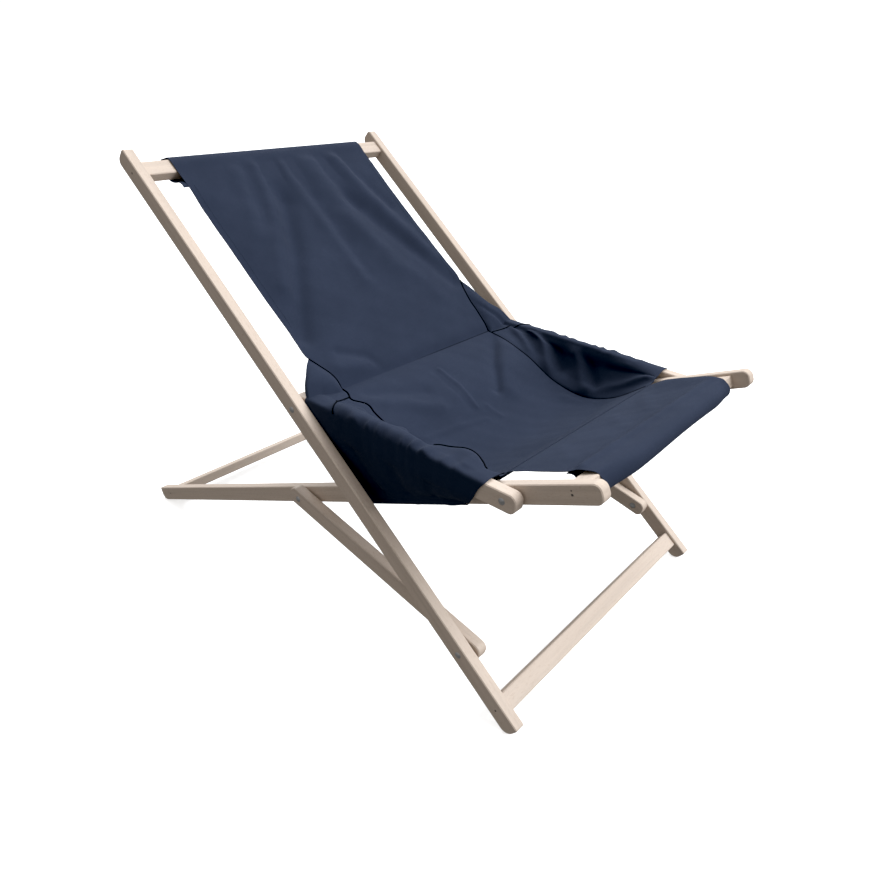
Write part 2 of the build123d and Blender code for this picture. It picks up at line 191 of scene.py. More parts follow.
def ripple(a, b, rise):
    """A faint unevenness of cloth: four crossing sine waves of given lengths and directions."""
    waves = (
        np.sin(61 * a + 23 * b + 0.4)
        + np.sin(37 * a - 71 * b + 1.9)
        + 0.6 * np.sin(113 * a + 89 * b + 2.7)
        + 0.5 * np.sin(149 * b - 97 * a + 4.1)
    )
    return rise * waves / 3.1


def keep_hollows(height, share):
    """Heights with every hollow at a share of its depth."""
    return np.maximum(height, 0) + np.minimum(height, 0) * share


def grid_normals(grid, closed=False):
    """Unit normals: the cross product of the slope across and the slope along the grid."""
    along = np.gradient(grid, axis=0)
    if closed:
        across = np.roll(grid, -1, axis=1) - np.roll(grid, 1, axis=1)
    else:
        across = np.gradient(grid, axis=1)
    normals = np.cross(across, along)
    return normals / np.maximum(np.linalg.norm(normals, axis=2, keepdims=True), 1e-12)


def run_lengths(grid, axis):
    """Mean length along one direction of a grid, added up from its first line."""
    steps = np.linalg.norm(np.diff(grid, axis=axis), axis=2).mean(axis=1 - axis)
    return np.append(0, np.cumsum(steps))


def add_object(name, data):
    """A new object in the scene."""
    piece = bpy.data.objects.new(name, data)
    bpy.context.scene.collection.objects.link(piece)
    return piece


def grid_object(name, grid, closed=False, inside_out=False):
    """A smooth mesh object of a grid's quads, with a UV map in metres along and across the sheet.

    A closed grid joins its last column to its first. The sheet's own edges stay sharp.
    """
    rows, columns = grid.shape[:2]
    index = np.arange(rows * columns).reshape(rows, columns)
    ring = np.concatenate([grid, grid[:, :1]], axis=1) if closed else grid
    if closed:
        index = np.concatenate([index, index[:, :1]], axis=1)
    places = np.stack(np.meshgrid(run_lengths(ring, 1), run_lengths(ring, 0)), axis=-1)
    turns = [(0, 0), (0, 1), (1, 1), (1, 0)]
    if inside_out:
        turns.reverse()
    high, wide = rows - 1, index.shape[1] - 1
    quads = np.stack([index[i:i + high, j:j + wide] for i, j in turns], axis=-1).reshape(-1, 4)
    corners = np.stack([places[i:i + high, j:j + wide] for i, j in turns], axis=2).reshape(-1, 2)
    mesh = bpy.data.meshes.new(name)
    mesh.vertices.add(rows * columns)
    mesh.vertices.foreach_set("co", grid.reshape(-1).astype(np.float32))
    mesh.loops.add(quads.size)
    mesh.loops.foreach_set("vertex_index", quads.reshape(-1).astype(np.int32))
    mesh.polygons.add(len(quads))
    mesh.polygons.foreach_set("loop_start", np.arange(0, quads.size, 4, dtype=np.int32))
    mesh.polygons.foreach_set("use_smooth", np.ones(len(quads), dtype=bool))
    mesh.update(calc_edges=True)
    layer = mesh.uv_layers.new(name="Cloth")
    layer.data.foreach_set("uv", corners.reshape(-1).astype(np.float32))
    mesh.validate()
    sides = np.empty(len(mesh.loops), dtype=np.int32)
    mesh.loops.foreach_get("edge_index", sides)
    rim = np.bincount(sides, minlength=len(mesh.edges)) == 1
    mesh.attributes.new("sharp_edge", "BOOLEAN", "EDGE").data.foreach_set("value", rim)
    return add_object(name, mesh)


def merge_points(piece, turn_out=False):
    """Makes one point of those that share a place, and turns faces outwards where that is asked."""
    sheet = bmesh.new()
    sheet.from_mesh(piece.data)
    bmesh.ops.remove_doubles(sheet, verts=sheet.verts, dist=1e-6)
    if turn_out:
        bmesh.ops.recalc_face_normals(sheet, faces=sheet.faces)
    sheet.to_mesh(piece.data)
    sheet.free()


def thicken(piece, thickness):
    """Gives a sheet its thickness behind the shown face."""
    wall = piece.modifiers.new("Cloth thickness", "SOLIDIFY")
    wall.thickness = thickness
    wall.offset = -1
    wall.use_even_offset = False


def unit_rows(vectors):
    """Rows of vectors, each at length one."""
    return vectors / np.linalg.norm(vectors, axis=1, keepdims=True)


def carried_profile(name, path, radii):
    """A round cord carried along a path: rings of points at each step, with the ends closed by a point."""
    path = np.asarray(path, dtype=float)
    tangent = unit_rows(np.gradient(path, axis=0))
    helper = np.array([1.0, 0.0, 0.0]) if abs(tangent[0, 0]) < 0.8 else np.array([0.0, 0.0, 1.0])
    first = unit_rows(np.cross(tangent, helper))
    second = np.cross(tangent, first)
    angle = np.linspace(0, 2 * math.pi, CORD_SIDES, endpoint=False)[None, :, None]
    radii = np.broadcast_to(radii, len(path))[:, None, None]
    rings = path[:, None] + radii * (np.cos(angle) * first[:, None] + np.sin(angle) * second[:, None])
    start, end = (path[[i], None].repeat(CORD_SIDES, 1) for i in (0, -1))
    piece = grid_object(name, np.concatenate([start, rings, end]), closed=True, inside_out=True)
    merge_points(piece)
    return piece


def stitch_rows(name, lines, length):
    """Sewing thread as rows of short stitches: at even steps along each line of points with normals,
    a six-sided grain is laid along the line, thickest and highest at its middle."""
    share = np.array([-0.5, -0.36, 0.0, 0.36, 0.5])
    swell = np.array([0.0, 0.8, 1.0, 0.8, 0.0])[:, None]
    angle = np.linspace(0, 2 * math.pi, CORD_SIDES, endpoint=False)
    lift = STITCH_RADIUS * (0.5 * swell + swell * np.cos(angle))
    side = STITCH_RADIUS * swell * np.sin(angle)
    blocks = []
    for points, normals in lines:
        run = run_along(points)
        spots = np.arange(length, run[-1] - length, STITCH_STEP * length)
        centre, along, up = (
            np.stack([np.interp(spots, run, column) for column in values.T], axis=1)
            for values in (points, np.gradient(points, run, axis=0), normals)
        )
        along, up = unit_rows(along), unit_rows(up)
        out = np.cross(along, up)
        blocks.append(
            centre[:, None, None]
            + length * share[None, :, None, None] * along[:, None, None]
            + lift[None, :, :, None] * up[:, None, None]
            + side[None, :, :, None] * out[:, None, None]
        )
    block = np.concatenate(blocks)
    count, rings, sides = block.shape[:3]
    index = np.arange(count * rings * sides).reshape(count, rings, sides)
    around = np.roll(index, -1, axis=2)
    quads = np.stack([index[:, :-1], index[:, 1:], around[:, 1:], around[:, :-1]], axis=-1).reshape(-1, 4)
    mesh = bpy.data.meshes.new(name)
    mesh.from_pydata(block.reshape(-1, 3).tolist(), [], quads.tolist())
    mesh.polygons.foreach_set("use_smooth", np.ones(len(quads), dtype=bool))
    piece = add_object(name, mesh)
    merge_points(piece, turn_out=True)
    return piece


# Shapes of the sling. Its two sides are named as the camera sees them: far is the left side, at +X

CORD_SIDES = 6
# Seam cords are near-black, darker than the cloth: besides the thread they paint the shade of the seams'
# grooves
SEAM_RADIUS = 0.0013
STITCH_RADIUS = 0.00035
# From one stitch to the next, over the length of a stitch
STITCH_STEP = 1.35
# The side stitches: how far below the middle of its bar they end, how far above the far gusset's tip
# they begin on the back panel, and which grid line from the edge they follow
HEM_BELOW = 0.046
STITCH_ABOVE = 0.01
HEM_COLUMN = 3

# Cords on the cloth: how far each is raised off it, and how far the seat's are moved inwards
GUSSET_SEAM_LIFT = 0.0004
SEAT_SEAM_LIFT = 0.0010
SEAT_SEAM_IN = 0.0007
ARM_SEAM_LIFT = 0.0003
CREASE_SHADE_CORD_LIFT = 0.0006
TUCK_SHADE_LIFT = 0.0006
# Points along a seam of the seat or the crease, and how much of the seat's length its seams have
SEAM_POINTS = 90
SEAT_SEAM_SHARE = 0.985
# The crease's dark cord, a seam that also paints the crease's shadow on the far half: its ends in X,
# its radius, and between which X it thickens
CREASE_SHADE_CORD_ENDS = (-0.080, 0.2085)
CREASE_SHADE_CORD_RADIUS = 0.0008
CREASE_SHADE_CORD_SWELL = (-0.090, 0.080)
# Where the tuck in front of the near arm runs, as shares of the wing's length: a dark welt cord that
# also paints the shade in the gap behind the wing's bulge
TUCK_SHADE_SHARES = (0.68, 0.76, 0.84, 0.90, 0.94)

# Half widths: of seat and back at the crease, of the back at the gussets' tips, of the loop behind the
# top bar on each side, of the lip, and how much the seat widens towards the front
CREASE_HALF = 0.2090
TIP_HALF = 0.2345
FAR_LOOP_HALF = 0.2345
NEAR_LOOP_HALF = 0.2420
LIP_HALF = 0.216
SEAT_FLARE = 0.0070

# Heights of the gussets' tips up the back
NEAR_TIP = 0.0670
FAR_TIP = 0.1240

# Edges of the back panel, as heights up the back and half widths: below each gusset's tip the edge is
# the gusset's seam
UPPER_EDGE = [(0.2000, 0.2325), (0.3000, 0.2310), (0.4000, 0.2315), (0.5400, 0.2350)]
NEAR_EDGE = [
    (CREASE_U, CREASE_HALF), (0.0134, 0.2100), (0.0350, 0.2167), (0.0510, 0.2255), (NEAR_TIP, TIP_HALF),
    (0.1100, 0.2338), *UPPER_EDGE,
]
FAR_EDGE = [
    (CREASE_U, CREASE_HALF), (0.0250, 0.2110), (0.0505, 0.2140), (0.0743, 0.2168), (0.0997, 0.2235),
    (FAR_TIP, TIP_HALF), *UPPER_EDGE,
]


def back_half_width(u, edge):
    """Half the back panel's width at height u."""
    return through(*zip(*edge), np.maximum(u, CREASE_U))


def back_sheet(rows=184, columns=121):
    """The back panel from the crease up its front, over the top bar and down to the hem behind it.

    The middle line is a smooth curve in the side view, swept straight across. Below the crease it is
    tucked under the seat panel. Long soft folds run down from the bar, and the near edge droops.
    """
    b = TOP_BAR_U
    line = [
        (CREASE_U - 0.0080, CREASE_V + 0.0004), (CREASE_U, CREASE_V), (0.011, 0.0168), (0.040, 0.0172),
        (0.100, 0.0160), (0.200, 0.0145), (0.350, 0.0130), (b - 0.060, 0.0124), (b - 0.016, 0.0122),
        (b + 0.012, 0.0122), (b + 0.0195, 0.0095), (b + 0.0235, 0.0030), (b + 0.0215, -0.0060),
        (b + 0.0150, -0.0114), (b + 0.0020, -0.0120), (b - 0.0150, -0.0112), (b - 0.0290, -0.0020),
        (b - 0.0370, 0.0070), (b - 0.0440, 0.0104), (b - 0.0520, 0.0106),
    ]
    path = smooth_line(line, rows)
    u, v = path[:, :1], path[:, 1:]
    tau = np.linspace(-1, 1, columns)[None, :]
    front = before_crest(path)
    half = np.where(tau > 0, back_half_width(u, FAR_EDGE), back_half_width(u, NEAR_EDGE))
    x = tau * np.where(front > 0, half, np.where(tau > 0, FAR_LOOP_HALF, NEAR_LOOP_HALF))
    # The near edge droops above its gusset, and hollows fade out where the cloth comes to the bar
    droop = -0.0060 * fade(-x, 0.165, 0.235) ** 2 * fade(u, 0.10, 0.22)
    folds = soft_folds(u, x, BACK_FOLDS) + droop + ripple(u, x, 0.0008)
    folds = keep_hollows(folds, 1 - fade(u, b - 0.110, b - 0.052))
    held = fade(u, CREASE_U, 0.03) * (1 - fade(u, b - 0.030, b + 0.004)) * front
    v = v + folds * held
    return in_space(x, on_back(np.broadcast_to(u, v.shape), v))


# Folds of the back panel: width, rise, and height and X of the places that each runs through
BACK_FOLDS = (
    (0.019, -0.0100, (0.515, -0.034), (0.397, -0.056), (0.290, -0.105), (0.110, -0.212)),
    (0.018, 0.0052, (0.505, -0.068), (0.380, -0.100), (0.219, -0.185)),
    (0.018, -0.0028, (0.480, -0.090), (0.360, -0.128)),
    (0.019, 0.0032, (0.505, -0.112), (0.400, -0.140), (0.330, -0.165)),
    (0.018, 0.0038, (0.520, -0.008), (0.400, -0.006), (0.190, -0.004)),
    (0.017, -0.0030, (0.490, 0.016), (0.320, 0.014), (0.200, 0.012)),
    (0.030, 0.0058, (0.515, 0.060), (0.350, 0.066), (0.200, 0.082)),
    (0.018, -0.0036, (0.505, 0.096), (0.420, 0.100), (0.361, 0.106)),
    (0.021, -0.0066, (0.380, 0.106), (0.283, 0.143), (0.197, 0.188), (0.130, 0.216)),
    (0.021, 0.0064, (0.515, 0.130), (0.376, 0.156), (0.197, 0.204)),
    (0.016, -0.0038, (0.500, 0.160), (0.430, 0.170), (0.340, 0.192)),
    (0.024, 0.0030, (0.330, 0.055), (0.200, 0.110), (0.110, 0.150)),
    (0.018, 0.0050, (0.034, -0.190), (0.020, -0.150)),
    (0.010, -0.0030, (0.062, -0.170), (0.034, -0.118), (0.010, -0.108)),
)


# The seat's seam with the wings, in the arm's side view: how far along the arm, and how far above it
CREASE_POINT = on_back(CREASE_U, CREASE_V) - ARM_PIVOT
SEAM_LINE = [
    (float(CREASE_POINT @ ARM_ALONG), float(CREASE_POINT @ ARM_FACE)), (0.0260, 0.0062), (0.1084, -0.0162),
    (0.1856, -0.0535), (0.2523, -0.0640), (0.3071, -0.0478), (0.3690, -0.0012),
]
# How far the seat's front end is set askew at each side
FRONT_SKEW = 0.006


def seat_half_width(share, near):
    """Half the seat panel's width at a share of its length from the crease. The near seam swings out and
    in again beside the crease."""
    swing = 0.0105 * np.exp(-(((share - 0.085) / 0.035) ** 2))
    swing = swing - 0.0050 * np.exp(-(((share - 0.155) / 0.035) ** 2))
    return CREASE_HALF + SEAT_FLARE * fade(share, 0.0, 1.0) + np.where(near, swing, 0.0)


def seat_side(share, tau):
    """Y and Z of the seat panel: the seam line, with the front end set askew across the chair."""
    knots = run_along(SEAM_LINE)
    line = through(knots / knots[-1], SEAM_LINE, share)
    side = on_arm(line[..., 0], 0 * line[..., 0]) + line[..., 1:] * ARM_FACE
    skew = FRONT_SKEW * tau * fade(share, 0.80, 1.0)
    return side + skew[..., None] * SEAT_ALONG


def seat_sheet(rows=150, columns=151):
    """The seat panel: the seam line swept across, hung lower in the middle, with soft packing folds."""
    share = np.linspace(0, 1, rows)[:, None] * np.ones(columns)
    tau = np.ones((rows, 1)) * np.linspace(-1, 1, columns)
    x = tau * seat_half_width(share, tau < 0)
    side = seat_side(share, tau)
    held = fade(share, 0, 0.05) * (1 - fade(share, 0.92, 1.0))
    sag = 0.007 * (1 - tau ** 2) * np.sin(math.pi * share)
    a = share * SEAT_LONG
    edge = 1 - np.abs(tau) ** 8
    rise = (soft_folds(a, x, SEAT_FOLDS) + ripple(a, x, 0.0010)) * held * edge - sag
    return in_space(x, side + rise[..., None] * ARM_FACE)


# Folds of the seat panel: width, rise, and length from the crease and X of the places on each
SEAT_LONG = 0.40
SEAT_FOLDS = (
    (0.013, -0.0075, (0.018, 0.204), (0.075, 0.130), (0.138, 0.072)),
    (0.020, 0.0060, (0.062, 0.196), (0.120, 0.124), (0.150, 0.096)),
    (0.0045, 0.0021, (0.048, -0.005), (0.100, -0.003), (0.152, -0.008)),
    (0.0060, -0.0009, (0.048, -0.021), (0.150, -0.022)),
    (0.0055, 0.0013, (0.160, 0.016), (0.192, 0.022)),
    (0.015, 0.0042, (0.056, -0.200), (0.110, -0.110), (0.124, -0.080)),
    (0.013, -0.0030, (0.036, -0.180), (0.080, -0.080)),
    (0.0060, 0.0014, (0.166, -0.164), (0.172, -0.080), (0.184, -0.010)),
    (0.014, 0.0034, (0.230, 0.185), (0.330, 0.205)),
    (0.018, -0.0030, (0.330, -0.090), (0.345, 0.060), (0.310, 0.190)),
)


def closed_curve(controls, counts):
    """Smooth closed curves, one for each row: cubics through the control points, whose slopes weigh the
    two neighbouring chords by each other's length, with a fixed count of points on each span."""
    chord = np.roll(controls, -1, axis=1) - controls
    length = np.maximum(np.linalg.norm(chord, axis=2, keepdims=True), 1e-6)
    before = np.roll(length, 1, axis=1)
    slope = (chord / length * before + np.roll(chord / length, 1, axis=1) * length) / (length + before)
    spans = []
    for k, count in enumerate(counts):
        following = (k + 1) % len(counts)
        f = np.linspace(0, 1, count, endpoint=False)[None, :, None]
        slopes = (length[:, k, None] * slope[:, end, None] for end in (k, following))
        spans.append(hermite(f, controls[:, k, None], controls[:, following, None], *slopes))
    return np.concatenate(spans, axis=1)


# Grid columns on a wing between its control points
WING_SPANS = (9, 9, 9, 5, 4, 4, 5, 6, 10, 10, 5, 4, 4, 6, 10, 10)

# From the middle of arm and seat rail to the cloth on their faces
SLEEVE_FACE = 0.0168
# A wing's rear end and length, along the arm from its rear pivot and along the rail from the front pivot
ARM_START, ARM_REACH = 0.008, 0.367
RAIL_START, RAIL_REACH = -0.343, 0.255

# How far out the top of each wing's inner wall stands, at shares of its length from the rear
NEAR_SHOULDER = [
    (0.000, 0.2560), (0.200, 0.2570), (0.500, 0.2590), (0.670, 0.2580), (0.740, 0.2450),
    (0.800, 0.2355), (0.860, 0.2350), (0.900, 0.2420), (0.935, 0.2520), (1.000, 0.2500),
]
FAR_SHOULDER = [
    (0.000, 0.2580), (0.200, 0.2610), (0.500, 0.2620), (0.750, 0.2605), (0.900, 0.2540), (1.000, 0.2470),
]


def wing_sheet(side, rows=104):
    """One side sleeve of the bucket: a closed section carried from the crease to the front.

    From the seat's seam the cloth rises to the arm, goes over it, down its outside and in to the seat
    rail, under the rail and back up to the seam. The top follows the arm, the bottom follows the rail.
    """
    share = np.linspace(0, 1, rows)
    one = np.ones(rows)
    seam = seat_side(share, side.sign * one)
    top = on_arm(ARM_START + ARM_REACH * share, SLEEVE_FACE * one)
    under = on_seat(RAIL_START + RAIL_REACH * share, -SLEEVE_FACE * one)
    half = seat_half_width(share, side.sign < 0)
    shoulder = through(*zip(*side.shoulder), share)

    def between(start, end, part):
        """Places a part of the way from start to end."""
        return start + part * (end - start)

    def raised(line, rise):
        """Places raised off the arm."""
        return line + (rise * one)[:, None] * ARM_FACE

    crest = side.crest * fade(share, 0.10, 0.24) * (1 - fade(share, 0.56, 0.70))
    slant = fade(share, 0.70, 1.0)[:, None] * ARM_ALONG
    outer = raised(top, -0.036) - 0.018 * slant
    places = [
        (half, seam),
        (half + 0.45 * (shoulder - half), between(seam, top, 0.25)),
        (half + 0.86 * (shoulder - half), between(seam, top, 0.62)),
        (shoulder, raised(top, 0.6 * crest - side.drop)),
        (0.2655 * one, raised(top, 0.9 * crest + 0.0008)),
        (0.2770 + 0.2 * crest, raised(top, crest + 0.0010)),
        (0.2872 + 0.1 * crest, raised(top, -0.2 * crest - 0.0012)),
        (0.2893 * one, raised(top, -0.0130) - 0.008 * slant),
        (0.2885 * one, outer),
        (0.2785 * one, between(outer, under, 0.50)),
        (0.2672 * one, raised(under, 0.0120)),
        (0.2655 * one, raised(under, 0.0012)),
        (0.2540 * one, under),
        (0.2425 * one, raised(under, 0.0012)),
        (0.2400 * one, raised(between(under, seam, 0.26), 0.003)),
        (0.45 * 0.2400 + 0.55 * half, between(under, seam, 0.68)),
    ]
    controls = np.stack([in_space(x, line) for x, line in places], axis=1)
    grid = closed_curve(controls, WING_SPANS)
    grid[..., 0] *= side.sign
    return grid


def wing_column(control):
    """The grid column at a wing's control point."""
    return sum(WING_SPANS[:control])


# Places on a wing's sheet: its length, and a nominal length round it from the seam over the arm
WING_LONG = 0.37
WING_ROUND = 0.40
# Round the sheet: between which places hollows fade out inside the arm, and the place past the arm's top
INSIDE_ARM = (0.062, 0.086)
PAST_ARM = 0.12
# The gathers' mean step along the wing, and their full rise
GATHER_STEP = 0.026
GATHER_RISE = 0.0078
# Outside the arm the gathers flatten off, up to a limit just clear of the back rail
WING_FLUSH = 0.2880
WING_LIMIT = 0.2899


def folded_wing(side):
    """A wing with its soft folds: the grid moved along its normals, held still along the seam, and only
    outwards where it lies on wood. Gathers are drawn in along the outer top edge."""
    grid = wing_sheet(side)
    normals = -side.sign * grid_normals(grid, closed=True)
    rows, columns = grid.shape[:2]
    a = np.linspace(0, WING_LONG, rows)[:, None] * np.ones(columns)
    b = np.ones((rows, 1)) * WING_ROUND * np.arange(columns) / columns
    loose = fade(np.minimum(b, WING_ROUND - b), 0.0, 0.025)
    height = (soft_folds(a, b, side.folds) + ripple(a, b, 0.0012)) * loose
    height = keep_hollows(height, 1 - fade(b, *INSIDE_ARM) * (b < PAST_ARM))
    column = np.arange(columns)
    on_wood = (column >= wing_column(4) - 2) & (column <= wing_column(8) + 2)
    on_wood |= (column >= wing_column(10) - 2) & (column <= wing_column(14))
    height = np.where(on_wood[None, :], np.clip(height, 0, 0.002), height)
    across = b - WING_ROUND * wing_column(6) / columns
    inner_reach = 0.014 + 0.022 * fade(a, 0.21, 0.27)
    drawn = np.exp(-((across / np.where(across > 0, 0.032, inner_reach)) ** 2))
    drawn = drawn * fade(a, 0.05, 0.09) * (1 - fade(a, 0.315, 0.35))
    phase = 2 * math.pi * a / GATHER_STEP + 1.7 * np.sin(31 * a) + 0.9 * np.sin(83 * a) + 4 * across
    gather = (0.5 + 0.5 * np.sin(phase)) ** 1.5 * (0.65 + 0.35 * np.sin(53 * a + 1.0))
    height = height + side.gathers * drawn * gather
    height = height * fade(a, 0.0, 0.012)
    grid = grid + height[..., None] * normals
    room = WING_LIMIT - WING_FLUSH
    beyond = np.maximum(side.sign * grid[..., 0] - WING_FLUSH, 0)
    grid[..., 0] -= side.sign * (beyond - room * np.tanh(beyond / room))
    return grid


# Folds of the wings: width, rise, and the places that each runs through
FAR_FOLDS = (
    (0.015, 0.0080, (0.082, 0.098), (0.112, 0.060), (0.146, 0.014)),
    (0.013, -0.0070, (0.122, 0.092), (0.150, 0.060), (0.172, 0.040)),
    (0.014, 0.0070, (0.186, 0.080), (0.206, 0.052), (0.230, 0.018)),
    (0.010, -0.0065, (0.212, 0.085), (0.234, 0.050), (0.252, 0.030)),
    (0.012, 0.0060, (0.244, 0.022), (0.300, 0.036), (0.350, 0.060)),
    (0.010, -0.0045, (0.270, 0.075), (0.335, 0.082)),
    (0.010, 0.0040, (0.030, 0.066), (0.070, 0.040), (0.092, 0.020)),
    (0.014, 0.0030, (0.080, 0.220), (0.100, 0.300)),
    (0.014, 0.0026, (0.200, 0.200), (0.220, 0.280)),
)
NEAR_FOLDS = (
    (0.012, 0.0060, (0.096, 0.090), (0.155, 0.015)),
    (0.012, 0.0060, (0.190, 0.090), (0.230, 0.020)),
    (0.012, 0.0045, (0.250, 0.022), (0.345, 0.055)),
    (0.010, 0.0035, (0.262, 0.092), (0.300, 0.098), (0.325, 0.120)),
    (0.013, -0.0026, (0.100, 0.190), (0.120, 0.290)),
    (0.013, -0.0024, (0.190, 0.190), (0.200, 0.280)),
    (0.012, -0.0022, (0.270, 0.190), (0.280, 0.270)),
)

# The free edge of each gusset, from its tip to the outside of the arm: X, height and distance forward
NEAR_GUSSET = [
    (TIP_HALF, NEAR_TIP, 0.0165), (0.2500, 0.055, 0.0215), (0.2640, 0.039, 0.0230), (0.2790, 0.020, 0.0215),
]
FAR_GUSSET = [
    (TIP_HALF, FAR_TIP, 0.0157), (0.2420, 0.100, 0.0190), (0.2470, 0.075, 0.0220), (0.2530, 0.050, 0.0240),
    (0.2680, 0.027, 0.0235),
]
# How far the gussets are tucked in under the wings
TUCK_DEPTH = 0.0013


class Side(NamedTuple):
    """What differs between the two sides of the sling: the gusset's tip, free edge and cut area, the wing's
    shoulder and how far that lies below the arm's top, how far loose cloth stands up above the arm, the
    wing's folds and the rise of its gathers, and where the seam over the arm runs along the wing. The
    gusset's cut area is not used."""

    name: str
    sign: float
    tip: float
    gusset: list
    gusset_area: float
    shoulder: list
    drop: float
    crest: float
    folds: tuple
    gathers: float
    arm_seam: tuple


FAR = Side(
    name="left", sign=1.0, tip=FAR_TIP, gusset=FAR_GUSSET, gusset_area=0.0056, shoulder=FAR_SHOULDER,
    drop=0.0055, crest=0.0015, folds=FAR_FOLDS, gathers=0.4 * GATHER_RISE,
    arm_seam=(0.02, 0.09, 0.13, 0.16),
)
NEAR = Side(
    name="right", sign=-1.0, tip=NEAR_TIP, gusset=NEAR_GUSSET, gusset_area=0.0042, shoulder=NEAR_SHOULDER,
    drop=0.0020, crest=0.0070, folds=NEAR_FOLDS, gathers=GATHER_RISE,
    arm_seam=(0.07, 0.115, 0.16, 0.185),
)
SIDES = (FAR, NEAR)


def gusset_seam(side, count=40):
    """The seam of gusset and back panel, from the crease to the gusset's tip."""
    edge = back_sheet()[:, -1 if side.sign > 0 else 0]
    heights = ((edge[:, 1:] - ARM_PIVOT) @ BACK_ALONG)[:len(edge) // 2]
    first = max(0, int(np.searchsorted(heights, CREASE_U)) - 1)
    last = int(np.searchsorted(heights, side.tip))
    return smooth_line(edge[first:last + 1], count)


def gusset_sheet(side, columns=26):
    """The gusset that closes the corner, a three-sided patch that meets in a point at the crease.

    Straight lines from the back panel's seam to the end of the wing over the arm are shifted, more and
    more away from the crease, so that the far side follows the free edge. The patch is bowed outwards.
    """
    upper = gusset_seam(side)
    rows = len(upper)
    wing = wing_sheet(side)
    tucked = wing + TUCK_DEPTH * side.sign * grid_normals(wing, closed=True)
    lower = smooth_line(tucked[2, :wing_column(7) + 1], rows)
    lower[0] = upper[0]
    x, u, v = np.array(side.gusset).T
    edge = np.concatenate([upper[-1:], in_space(side.sign * x, on_back(u, v))[1:], lower[-1:]])
    edge = smooth_line(edge, columns)
    r = np.linspace(0, 1, columns)[None, :, None]
    q = np.linspace(0, 1, rows)[:, None, None]
    chord = (1 - r) * upper[-1] + r * lower[-1]
    grid = (1 - r) * upper[:, None] + r * lower[:, None] + q ** 1.5 * (edge[None] - chord)
    bow = 0.005 * np.sin(math.pi * q ** 0.8) * np.sin(math.pi * r)
    grid[..., 1:] += bow * (BACK_FACE + 0.6 * BACK_ALONG)
    return grid


def lip_sheet(rows=112, columns=113):
    """The front lip from under the seat's front edge, over the front bar, round it and back up to its
    hem. The loop is loose, and hangs below the bar and in front of it."""
    w = FRONT_BAR_W
    line = [
        (-0.0500, 0.0030), (-0.0400, 0.0095), (-0.0280, 0.0150), (-0.0100, 0.0158), (0.0300, 0.0146),
        (w - 0.0320, 0.0138), (w - 0.0160, 0.0152), (w - 0.0030, 0.0142), (w + 0.0100, 0.0118),
        (w + 0.0200, 0.0076), (w + 0.0275, 0.0015), (w + 0.0295, -0.0050), (w + 0.0265, -0.0125),
        (w + 0.0170, -0.0165), (w + 0.0020, -0.0168), (w - 0.0110, -0.0155), (w - 0.0185, -0.0085),
        (w - 0.0212, 0.0015), (w - 0.0232, 0.0085), (w - 0.0285, 0.0112), (w - 0.0360, 0.0118),
    ]
    path = smooth_line(line, rows)
    tau = np.ones((rows, 1)) * np.linspace(-1, 1, columns)
    x = LIP_HALF * tau
    along = path[:, :1] * np.ones(columns)
    up = path[:, 1:] * np.ones(columns)
    front = before_crest(path)
    pull = fade(np.abs(x), 0.130, LIP_HALF)
    skew = FRONT_SKEW * tau * (1 - fade(along, -0.02, 0.06)) * front
    along = along - 0.0095 * pull * fade(along, w + 0.008, w + 0.0295)
    held = fade(along, -0.03, 0.01) * (1 - fade(along, w + 0.002, w + 0.020)) * front
    slack = 0.0012 * np.sin(19 * x + 0.8) * fade(-up, -0.004, 0.014)
    up = up + (soft_folds(along, x, LIP_FOLDS) + ripple(along, x, 0.0007)) * held + slack
    return in_space(x, on_seat(along + skew, up))


# Folds of the lip: width, rise, and place along the seat rails from the front pivot and X
LIP_FOLDS = (
    (0.0075, 0.0042, (0.082, -0.205), (0.089, 0.000), (0.095, 0.205)),
    (0.034, 0.0065, (-0.010, 0.216), (0.060, 0.216)),
    (0.014, 0.0018, (0.000, 0.140), (0.050, 0.060)),
    (0.012, 0.0014, (0.000, -0.120), (0.040, -0.170)),
    (0.013, 0.0016, (0.010, 0.020), (0.050, -0.030)),
)


# Finishes


